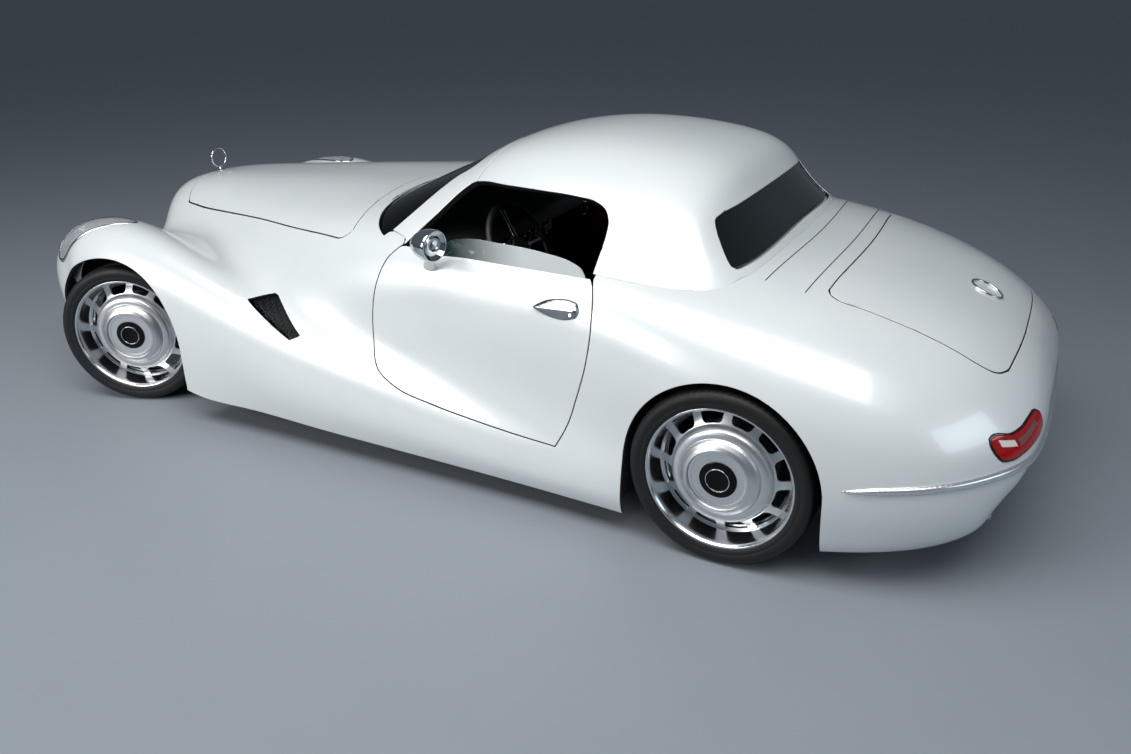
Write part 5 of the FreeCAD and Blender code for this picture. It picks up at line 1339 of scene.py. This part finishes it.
def honeycomb(p):
    """Positive on the walls between six-sided holes: the distance from the nearest hole's middle
    along its three ways, less the hole's half width."""
    y = p[:, 1] * VENT_COS + p[:, 2] * VENT_SIN
    z = p[:, 2] * VENT_COS - p[:, 1] * VENT_SIN
    row = HOLE_PITCH * math.sqrt(3) / 2
    best = np.full(len(p), 9.0)
    for shift in (0, 1):
        b = (np.round((z / row - shift) / 2) * 2 + shift)
        a = np.round(y / HOLE_PITCH - shift / 2) + shift / 2
        dy, dz = y - a * HOLE_PITCH, z - b * row
        reach = np.max([np.abs(dy), np.abs(dy * .5 + dz * .866), np.abs(dy * .5 - dz * .866)],
                       axis=0)
        best = np.minimum(best, reach)
    return best - (HOLE_PITCH / 2 - HALF_WALL)


vent_parts = []
for side, word in SIDES:
    half = beyond(0, 0, side)
    vent_parts += [panel("vent mesh " + word, Lowered(body_skin, .007),
                         [half, within(vent_line, "side"), honeycomb], .0042, .004,
                         satin_black, .0004),
                   panel("vent backing " + word, Lowered(body_skin, .020),
                         [half, within(vent_line, "side", .004)], .03, .002, black, .0005)]
go_with("side_vents", *vent_parts)

print("vent pieces", len(vent_parts))

# %% [markdown]
# ## The strip round the tail
# One bright blade runs from behind the rear wheel round the tail. Its outline is drawn from the
# side, so it wraps the tail at one height without a seam at the corners.

# %% Tail strip
# The strip round the tail.
bumper_line = smooth_line([(1.588, .384), (1.669, .406), (1.748, .417), (1.829, .425),
                           (1.940, .434), (2.030, .438), (2.300, .440), (2.300, .408),
                           (2.030, .407), (1.908, .403), (1.831, .399), (1.754, .391),
                           (1.672, .383)], [0, 6, 7])
BUMPER_FROM = 1.55
blade = within(bumper_line, "side", -.0005)
go_with("bumper", strip("bumper strip", body_skin, [beyond(1, BUMPER_FROM)], blade, .0125, .014,
                        strip_metal, .004))

print("strip outline", len(bumper_line), "points")

# %% [markdown]
# ## Handles and mirrors
# The handle is a leaf with a ridge, raised from the door's skin. The mirror is half a rounded
# shell with a rolled lip, on a foot that grows thin in the middle; a loft through rings makes both
# without a seam.

# %% Handles and mirrors
# Handles, mirrors and their feet.
handle_line = smooth_line([(.481, .7635), (.5265, .790), (.582, .803), (.629, .804), (.655, .7955),
                           (.662, .778), (.658, .7556), (.633, .744), (.556, .739),
                           (.504, .751)], [0])
HANDLE_Y, HANDLE_Z, HANDLE_TILT, RIDGE_HALF, RIDGE_RISE = .481, .7640, .07, .020, .009
LOCK_Y, LOCK_Z, LOCK_RADIUS = .640, .7600, .006
MIRROR_HALF = np.array([.062, .093, .057])
MIRROR_AT, MIRROR_FOOT = (.865, .107, .934), (.786, .030, .819)
MIRROR_TURN, AROUND = math.radians(-8), 56
FOOT_TOP, FOOT_WIDE, FOOT_LONG = (.012, .030, .036), (.010, .003), (.030, .016, .010)
LIPS = ((.004, 1.0), (.0075, .985), (.009, .955), (.009, .915), (.007, .900), (.002, .895))
phi = np.linspace(.02, np.pi / 2, 22)[:, None, None]
oval = circle(AROUND, 0, 2)
shell = (np.sin(phi) * oval - np.cos(phi) * [0, 1, 0]) * MIRROR_HALF
lips = [oval * MIRROR_HALF * scale + [0, y, 0] for y, scale in LIPS]
shell = np.concatenate([shell, np.array(lips)])
face = oval * [.0552, 0, .0507]
pane = np.array([face + [0, .0035, 0], face * .5 + [0, .00375, 0], face * .02 + [0, .00257, 0]])
turn = full_turn(24)
for side, word in SIDES:
    half = beyond(0, 0, side)
    leaf = within(handle_line, "side")
    net = patch(body_skin, [half, leaf], .004)
    points, faces, normals = raised(body_skin, net, leaf, .008, .020)
    spine = points[:, 2] - HANDLE_Z - HANDLE_TILT * (points[:, 1] - HANDLE_Y)
    ridge = np.maximum(1 - np.abs(spine) / RIDGE_HALF, 0) * np.clip(leaf(points) / .006, 0, 1)
    points = points + normals * (ridge * RIDGE_RISE)[:, None]
    parts = [build("handle " + word, points, faces, grey_chrome),
             panel("lock " + word, body_skin, [half, lambda p: LOCK_RADIUS - np.hypot(
                 p[:, 1] - LOCK_Y, p[:, 2] - LOCK_Z)], .003, .004, satin, .001, .0165)]
    mirror = np.array([side, 1, 1])
    middle = MIRROR_AT * mirror
    points, faces = loft(spun(shell, MIRROR_TURN * side, 2) + middle)
    parts.append(build("mirror shell " + word, points, faces[:-AROUND], chrome))
    points, faces = loft(spun(pane, MIRROR_TURN * side, 2) + middle)
    parts.append(build("mirror face " + word, points, faces, silver))
    foot = MIRROR_FOOT * mirror
    top = middle - FOOT_TOP * mirror
    rings = []
    for share in np.linspace(0, 1, 12):
        long = FOOT_LONG[0] - FOOT_LONG[1] * share + FOOT_LONG[2] * share**4
        wide = FOOT_WIDE[0] - FOOT_WIDE[1] * share
        rings.append(foot + (top - foot) * share
                     + np.stack([wide * np.cos(turn), long * np.sin(turn),
                                 -.5 * side * wide * np.cos(turn)], 1))
    points, faces = loft(rings)
    parts.append(build("mirror foot " + word, points, faces, chrome))
    go_with("door_fittings_" + word, *parts)

print("door fittings", 2 * len(parts), "pieces")

# %% [markdown]
# ## Ornament, lid ring and grooves
# A plain upright ring stands on the nose, another lies flat on the boot lid, and two shallow
# grooves cross the deck, lined with dark painted shade. Ring and grooves have to lie on a curved
# skin, so their points are given in plan and set on it by its nearest sample.

# %% Rings and grooves
# The ornament on the nose and the plain ring on the boot lid.
ORNAMENT_Y = -1.800
ring_path = [0, ORNAMENT_Y, .915] + .046 * circle(72, 0, 2)
ornament = build("ornament ring", *tube(ring_path, .0036), chrome)
points, faces = lathe([(-.004, .038), (.004, .038), (.008, .034), (.012, .022), (.014, .010),
                       (.022, .0060), (.029, .0050), (.029, .0002)], 48, .002)
points = points[:, [1, 2, 0]] + [0, ORNAMENT_Y, .842]
go_with("mascot", ornament, build("ornament foot", points, faces[:, ::-1], chrome))
LID_RING_Y, FAR = 1.840, 9.0


def skin_level(u_range, v_range, count, axis, off):
    """A rule for points given in two coordinates: where the skin lies along the third axis, by the
    plane of its nearest sample that is not off, and the normal there."""
    uv = grid(u_range, v_range, count, count)[0]
    spots, ways = body_skin.point(uv), body_skin.normal(uv)
    flat = [i for i in range(3) if i != axis]
    away = off(spots, ways) * FAR

    def level(plan):
        near = (((spots[:, flat] - plan[:, None])**2).sum(2) + away).argmin(1)
        gap = ((plan - spots[near][:, flat]) * ways[near][:, flat]).sum(1)
        return spots[near, axis] - gap / ways[near, axis], ways[near]
    return level


deck = skin_level((.55, .95), (.3, .7), 260, 2, lambda spots, ways: spots[:, 2] < UPPER)


def on_deck(plan, lift=0.0):
    """Points given in plan, set on the skin."""
    height, way = deck(plan)
    return np.column_stack([plan, height]) + way * lift


path = [0, LID_RING_Y] + .052 * circle(72, 0, 1)[:, :2]
emblem = build("lid ring", *tube(on_deck(path, .003), .0048), chrome)
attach(emblem, bodies_of["boot_lid"])
GROOVE_REACH, GROOVE_WIDE = .585, .0017
GROOVE_EDGES = ((-1, -.002), (-1, .0004), (1, .0004), (1, -.002))
for number, (side_y, middle_y) in enumerate(((1.380, 1.416), (1.512, 1.540))):
    x = np.linspace(-GROOVE_REACH, GROOVE_REACH, 160)
    y = side_y - SHIFT + (middle_y - side_y) * (1 - (x / GROOVE_REACH)**2)
    edges = [on_deck(np.column_stack([x, y + way * GROOVE_WIDE]), lift)
             for way, lift in GROOVE_EDGES]
    points, faces = loft(edges, False)
    faces = faces.reshape(3, -1, 4)[:, :-1].reshape(-1, 4)
    # Each groove's dark lining is painted shade.
    painted_shade_groove = build("deck groove %d" % number, points, faces, groove_painted_shade)
    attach(painted_shade_groove, "body")
print("ornament of", len(ring_path), "points; lid ring of", len(path), "points")

# %% [markdown]
# ## Doors from the inside, and their glass
# An open door shows a dark lining with a padded red panel, and a pane that leans inwards. The
# lining is the door's own skin moved inwards and walled in, and the pad swells away from it by a
# quarter-round, so both fit the door's outline.

# %% Door linings and glass
def tray(skin, net, step):
    """The back of a panel: its net moved by a step, with walls down from the net's own edge."""
    uv, tris = net
    face = skin.point(uv)
    edges = rim_edges(tris)
    back = face + np.array(step)
    count = len(face)
    walls = [np.stack([edges[:, 0], edges[:, 1], edges[:, 1] + count], 1),
             np.stack([edges[:, 0], edges[:, 1] + count, edges[:, 0] + count], 1)]
    return np.concatenate([face, back]), np.concatenate([tris[:, ::-1] + count] + walls)


pane_line = smooth_line([(.058, .840), (.058, .888), (.100, .921), (.165, .937), (.310, .9395),
                         (.496, .9305), (.592, .9155), (.633, .897), (.652, .868), (.652, .840)],
                        [0, 1, 8, 9])
pad_line = smooth_line(side_line([(.02, .46), (.05, .74), (.30, .78), (.72, .77), (.76, .62),
                                  (.70, .42), (.30, .40)]), [0, 1, 3, 5])
BACK_STEP, TRIM_STEP, PAD_RISE, CREASE_Z = .060, .071, .012, .60
PANE_X, PANE_SPREAD, PANE_LONG, PANE_LEAN, BELT_Z = .755, .018, .66, .17, .87
for side, word in SIDES:
    half = beyond(0, 0, side)
    under_skin = Lowered(body_skin, .010)
    net = patch(under_skin, [half, within(door_line, "side", -.022)], .03)
    points, faces = tray(under_skin, net, (-side * BACK_STEP, 0, 0))
    if side < 0:
        faces = faces[:, ::-1]
    back = build("door back " + word, points, faces, dark_hide, smooth=False)
    trim = Skin(body_skin.net + [-side * TRIM_STEP, 0, 0])
    uv, tris = patch(trim, [half, within(pad_line, "side")], .02)
    spots = trim.point(uv)
    reach = np.clip(within(pad_line, "side")(spots) / .03, 0, 1)
    rise = PAD_RISE * np.sqrt(np.maximum(1 - (1 - reach)**2, 0))
    crease = .004 * np.exp(-((spots[:, 2] - CREASE_Z) / .006)**2)
    spots = spots - trim.normal(uv) * (rise - crease)[:, None]
    pad = build("door pad " + word, spots, tris[:, ::-1], hide)
    for piece in (back, pad):
        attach(piece, bodies_of["door_" + word])
    rows = [[(side * (PANE_X + PANE_SPREAD * y / PANE_LONG - PANE_LEAN * (z - BELT_Z)), y, z)
             for y in (-.10, .10, .30, .50, .70, .90)] for z in (.80, .86, .92, .98)]
    go_with("door_glass_" + word, panel("door glass " + word, Skin(rows),
                                        [half, within(pane_line, "side")], .02, .005,
                                        sheen_painted_pane, .001))

# %% [markdown]
# ## Seats
# Two bucket seats with pleated middles and side wings. Sculpting would be slow to change; a
# cushion is a rounded block, whose soft power pulls its sides out to a box with round edges, and
# its pleats are pressed in by a cosine across it.

# %% Seats
def cushion(name, middle, half, lean, channels=0, power=.42, look=hide):
    """A stuffed block, leaning back round X, its top pressed into channels across X."""
    rings, faces = block(34, 72, power)
    spots = rings * np.array(half)
    if channels:
        wave = np.abs(np.sin(np.pi * channels * (rings[:, 0] + 1) / 2)) ** .5
        press = (1 - wave) * np.clip(rings[:, 2], 0, 1) * (np.abs(rings[:, 0]) < .92)
        spots[:, 2] -= press * half[2] * .16
    crown = (1 - rings[:, 0]**2) * (1 - rings[:, 1]**2) * np.sign(rings[:, 2])
    spots[:, 2] += crown * half[2] * .12
    piece = build(name, spun(spots, lean, 0) + middle, faces, look)
    look in (hide, dark_hide)
    return piece


seat_parts = []
LEAN = math.radians(106)
for side, word in SIDES:
    x = side * .370
    seat_parts += [
        cushion("seat foot " + word, (x, .430, .235), (.200, .200, .075), 0, 0, .3, black),
        cushion("seat base " + word, (x, .435, .345), (.165, .230, .058), .03, 7),
        cushion("seat back " + word, (x, .722, .610), (.165, .235, .048), LEAN, 7),
        cushion("seat shell " + word, (x, .755, .600), (.235, .250, .035), LEAN, 0, .35, dark_hide),
        cushion("head pad " + word, (x, .800, .900), (.115, .050, .040), LEAN, 0, .5)]
    for way in (1, -1):
        seat_parts += [
            cushion("seat wing %s %d" % (word, way), (x + way * .198, .435, .355),
                    (.045, .235, .068), .03, 0, .5),
            cushion("back wing %s %d" % (word, way), (x + way * .198, .705, .600),
                    (.042, .225, .062), LEAN, 0, .5)]
go_with("seats", *seat_parts)

# %% [markdown]
# ## Dials
# Round dials and vents sit in bright rings on the dashboard. Each is a turned profile, leaned back
# to face the driver.

# %% Dials
def facing(points, middle, lean):
    """Points turned from X to look back and up at the driver: lean is the tilt from level."""
    return spun(points[:, [1, 0, 2]], lean, 0) + middle


DIALS = ((.295, .770, .048), (.445, .770, .048), (.045, .775, .030), (-.045, .775, .030),
         (.370, .792, .022), (-.400, .775, .036), (.135, .775, .030))
AIR_VENTS, DIAL_LEAN = (5, 6), -.25
for number, (x, z, radius) in enumerate(DIALS):
    place = (x, .048 + (z - .755) * .32, z)
    points, faces = lathe([(.000, radius * 1.02), (.012, radius), (.014, radius * .95),
                           (.013, radius * .88), (.006, radius * .86)], 56, .002)
    parts = [build("dial ring %d" % number, facing(points, place, DIAL_LEAN), faces[:, ::-1],
                   chrome)]
    points, faces = lathe([(.006, radius * .87), (.007, radius * .5), (.007, .0003)], 48, .0005)
    vent = number in AIR_VENTS
    parts.append(build("dial face %d" % number, facing(points, place, DIAL_LEAN),
                       faces[:, ::-1], black if vent else dial))
    if not vent:
        needle = np.array([[0, 0, 1.0], [0, .05, 0], [0, 0, -.2], [0, -.05, 0]]) * radius * .8
        parts.append(build("dial hand %d" % number,
                           facing(needle + [.009, 0, 0], place, DIAL_LEAN), [[0, 1, 2, 3]],
                           gloss_black, smooth=False))
    for piece in parts:
        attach(piece, bodies_of["dashboard"])

print("dials and vents", len(DIALS))

# %% [markdown]
# ## Steering wheel
# A thin leather rim on three metal spokes. The rim is a tube round a circle; the spokes are lofts
# that are narrow in the middle and rise to the hub.

# %% Steering wheel
HELM, HELM_RADIUS = np.array([.370, .335 - SHIFT, .800]), .182
TILT = math.radians(62)
SPOKE_WIDE, SPOKE_WAIST, SPOKE_FROM, SPOKE_LONG, SPOKE_THICK = .017, .008, .040, .140, .0030
SPOKE_RISE = .006


def on_helm(points):
    """Points of the steering wheel's own frame, its axis along Z, leaned towards the driver."""
    return spun(points, -TILT, 0) + HELM


points, faces = tube(HELM_RADIUS * circle(96, 0, 1), .0128, 16)
helm_parts = [build("steering wheel rim", on_helm(points), faces, dark_hide)]
points, faces = lathe([(-.0315, .030), (-.010, .034), (.004, .052), (.010, .046), (.013, .020),
                       (.0135, .0004)], 48, .004)
helm_parts.append(build("steering wheel hub", on_helm(points[:, [1, 2, 0]]), faces, dark_hide))
around = full_turn(20)
for number, angle in enumerate(np.radians([0, 180, 270])):
    way = np.array([math.cos(angle), math.sin(angle), 0])
    across = np.array([-way[1], way[0], 0])
    rings = []
    for share in np.linspace(0, 1, 9):
        wide = SPOKE_WIDE - SPOKE_WAIST * math.sin(share * math.pi)
        rise = SPOKE_THICK * np.sin(around) + SPOKE_RISE * (1 - share)**2
        rings.append(way * (SPOKE_FROM + SPOKE_LONG * share)
                     + wide * np.cos(around)[:, None] * across + np.outer(rise, [0, 0, 1]))
    points, faces = loft(rings)
    helm_parts.append(build("steering wheel spoke %d" % number, on_helm(points), faces, satin))
go_with("steering_wheel", *helm_parts)

# %% [markdown]
# ## Exhaust tips
# Two bright pipes end under the tail. Each is a turned profile with a wall, laid along the car and
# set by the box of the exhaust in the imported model.

# %% Exhaust tips
TIP_RADIUS = .038
TIP_OUT = .500
TIP_Z = .200
for side, word in SIDES:
    low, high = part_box("exhaust")
    points, faces = lathe([(0, TIP_RADIUS + .0006), (.120, TIP_RADIUS + .0006),
                           (.1235, TIP_RADIUS - .0002), (.1235, TIP_RADIUS - .003),
                           (.020, TIP_RADIUS - .003), (.018, .0004)], 64, .001)
    spots = points[:, [1, 0, 2]] + np.array([side * TIP_OUT, high[1] - .123, TIP_Z])
    tip = build("exhaust tip " + word, spots, faces[:, ::-1], chrome)
    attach(tip, bodies_of["exhaust"])


print("exhaust tips", len(SIDES))

# %% [markdown]
# ## Plate recess
# A shallow pan for a number plate is let into the tail and left bare. Its rim has to meet a skin
# that curves away, so the ring's depth is read from the skin itself.

# %% Plate recess
def recess_ring(grow):
    """A rounded rectangle seen from behind, as x and z."""
    corner = PLATE_CORNER + grow
    spots = []
    for quarter, (sx, sz) in enumerate(((1, 1), (-1, 1), (-1, -1), (1, -1))):
        angle = np.linspace(0, np.pi / 2, 9) + quarter * np.pi / 2
        spots.append(np.stack([
            sx * (PLATE_HALF_X - PLATE_CORNER) + corner * np.cos(angle),
            PLATE_Z + sz * (PLATE_HALF_Z - PLATE_CORNER) + corner * np.sin(angle)], 1))
    return np.concatenate(spots)


tail = skin_level((.80, 1.0), (.30, .70), 240, 1, lambda spots, ways: ways[:, 1] <= .2)
edge = recess_ring(.0005)
floor_ring = recess_ring(-.004)
FLOOR_Y = 2.044
inner = floor_ring.mean(0) + (floor_ring - floor_ring.mean(0)) * .9
rings = []
for spots, y in ((edge, tail(edge)[0] - .002), (edge, FLOOR_Y + .004), (floor_ring, FLOOR_Y),
                 (inner, FLOOR_Y)):
    rings.append(np.column_stack([spots[:, 0], np.broadcast_to(y, len(edge)), spots[:, 1]]))
points, faces = loft(rings, False)
last = 3 * len(edge)
pan = build("plate recess", points, faces.tolist() + [list(range(last, last + len(edge)))], paint)
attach(pan, "body")

print("recess rim", len(edge), "points")

# %% [markdown]
# ## The frame's own nodes
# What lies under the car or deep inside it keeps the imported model's own mesh and only gets a
# finish: it is seen through the arches, from below and with the lids open.

# %% Finishes of the frame's nodes
looks = {"chassis": underbody, "suspension": iron, "knuckle_left": iron, "knuckle_right": iron,
         "engine": iron, "cabin_tub": carpet, "dashboard": dark_hide, "arch_liners": underbody,
         "boot_tub": carpet, "exhaust": steel}
for node, look in looks.items():
    piece = frame["nodes"][node]
    piece.data.materials.clear()
    piece.data.materials.append(look)
print("seat pieces", len(seat_parts), "frame nodes kept", len(looks))

# %% [markdown]
# ## Floor and light
# A plain pale floor and three soft boxes. Large lights give the long soft highlights that show the
# body's curves, and the tail box is a little blue, as light from a window is.

# %% Floor and light
FLOOR = 42.0
floor_points = [(x * FLOOR, y * FLOOR, 0) for x, y in ((-1, -1), (1, -1), (1, 1), (-1, 1))]
floor_material = coat("studio floor", "8e969d", "939aa1", .5, .56, 2.0)
floor = build("studio floor", floor_points, [(0, 1, 2, 3)], floor_material)


def soft_light(name, place, aim, width, height, watts, color=(1, 1, 1)):
    """A rectangular soft box that faces a point, with its long side level."""
    data = bpy.data.lights.new(name, "AREA")
    data.shape = "RECTANGLE"
    data.size = width
    data.size_y = height
    data.energy = watts
    data.color = color
    lamp = new_object(name, data)
    lamp.location = place
    way = np.array(aim, float) - np.array(place, float)
    lamp.rotation_euler = mathutils.Vector(way).to_track_quat("-Z", "Y").to_euler()


soft_light("top box", (2.3, .5, 4.3), (0, .3, .6), 6.4, 2.4, 205)
soft_light("side box", (5.6, -3.4, 2.6), (0, -.9, .4), 3.2, 2.2, 165)
soft_light("tail box", (1.0, 6.5, 2.4), (0, .6, .5), 3.6, 1.8, 45, (.80, .91, 1))
world = bpy.data.worlds.new("studio")
bpy.context.scene.world = world
world.use_nodes = True
sky = world.node_tree.nodes["Background"].inputs
sky["Color"].default_value = (.30, .36, .42, 1)
sky["Strength"].default_value = .30
bpy.context.scene.view_settings.view_transform = "Standard"

print("lights", len(bpy.data.lights))

# %% [markdown]
# ## Camera
# The camera stands where the photo was taken from: behind the car, to its left and above. Its
# place and turn were solved from the wheels' rims, so they are given as numbers.

# %% Camera
camera_data = bpy.data.cameras.new("camera")
camera_data.lens = 30.73
camera_data.sensor_width = 36
camera_data.clip_end = 60
camera = new_object("camera", camera_data)
bpy.context.scene.camera = camera
CAMERA_AT = (3.52677124, 2.19330508 - SHIFT, 1.89655957)
YAW, PITCH, ROLL = 3.62617833, .42376304, -.00661381
ahead = np.array([math.cos(YAW) * math.cos(PITCH), math.sin(YAW) * math.cos(PITCH),
                  -math.sin(PITCH)])
level = np.array([math.sin(YAW), -math.cos(YAW), 0])
above = np.cross(level, ahead)
right = level * math.cos(ROLL) + above * math.sin(ROLL)
upright = above * math.cos(ROLL) - level * math.sin(ROLL)
axes = mathutils.Matrix((right.tolist(), upright.tolist(), (-ahead).tolist())).transposed()
camera.matrix_world = mathutils.Matrix.Translation(CAMERA_AT) @ axes.to_4x4()
print("camera at", tuple(round(v, 3) for v in camera.location))
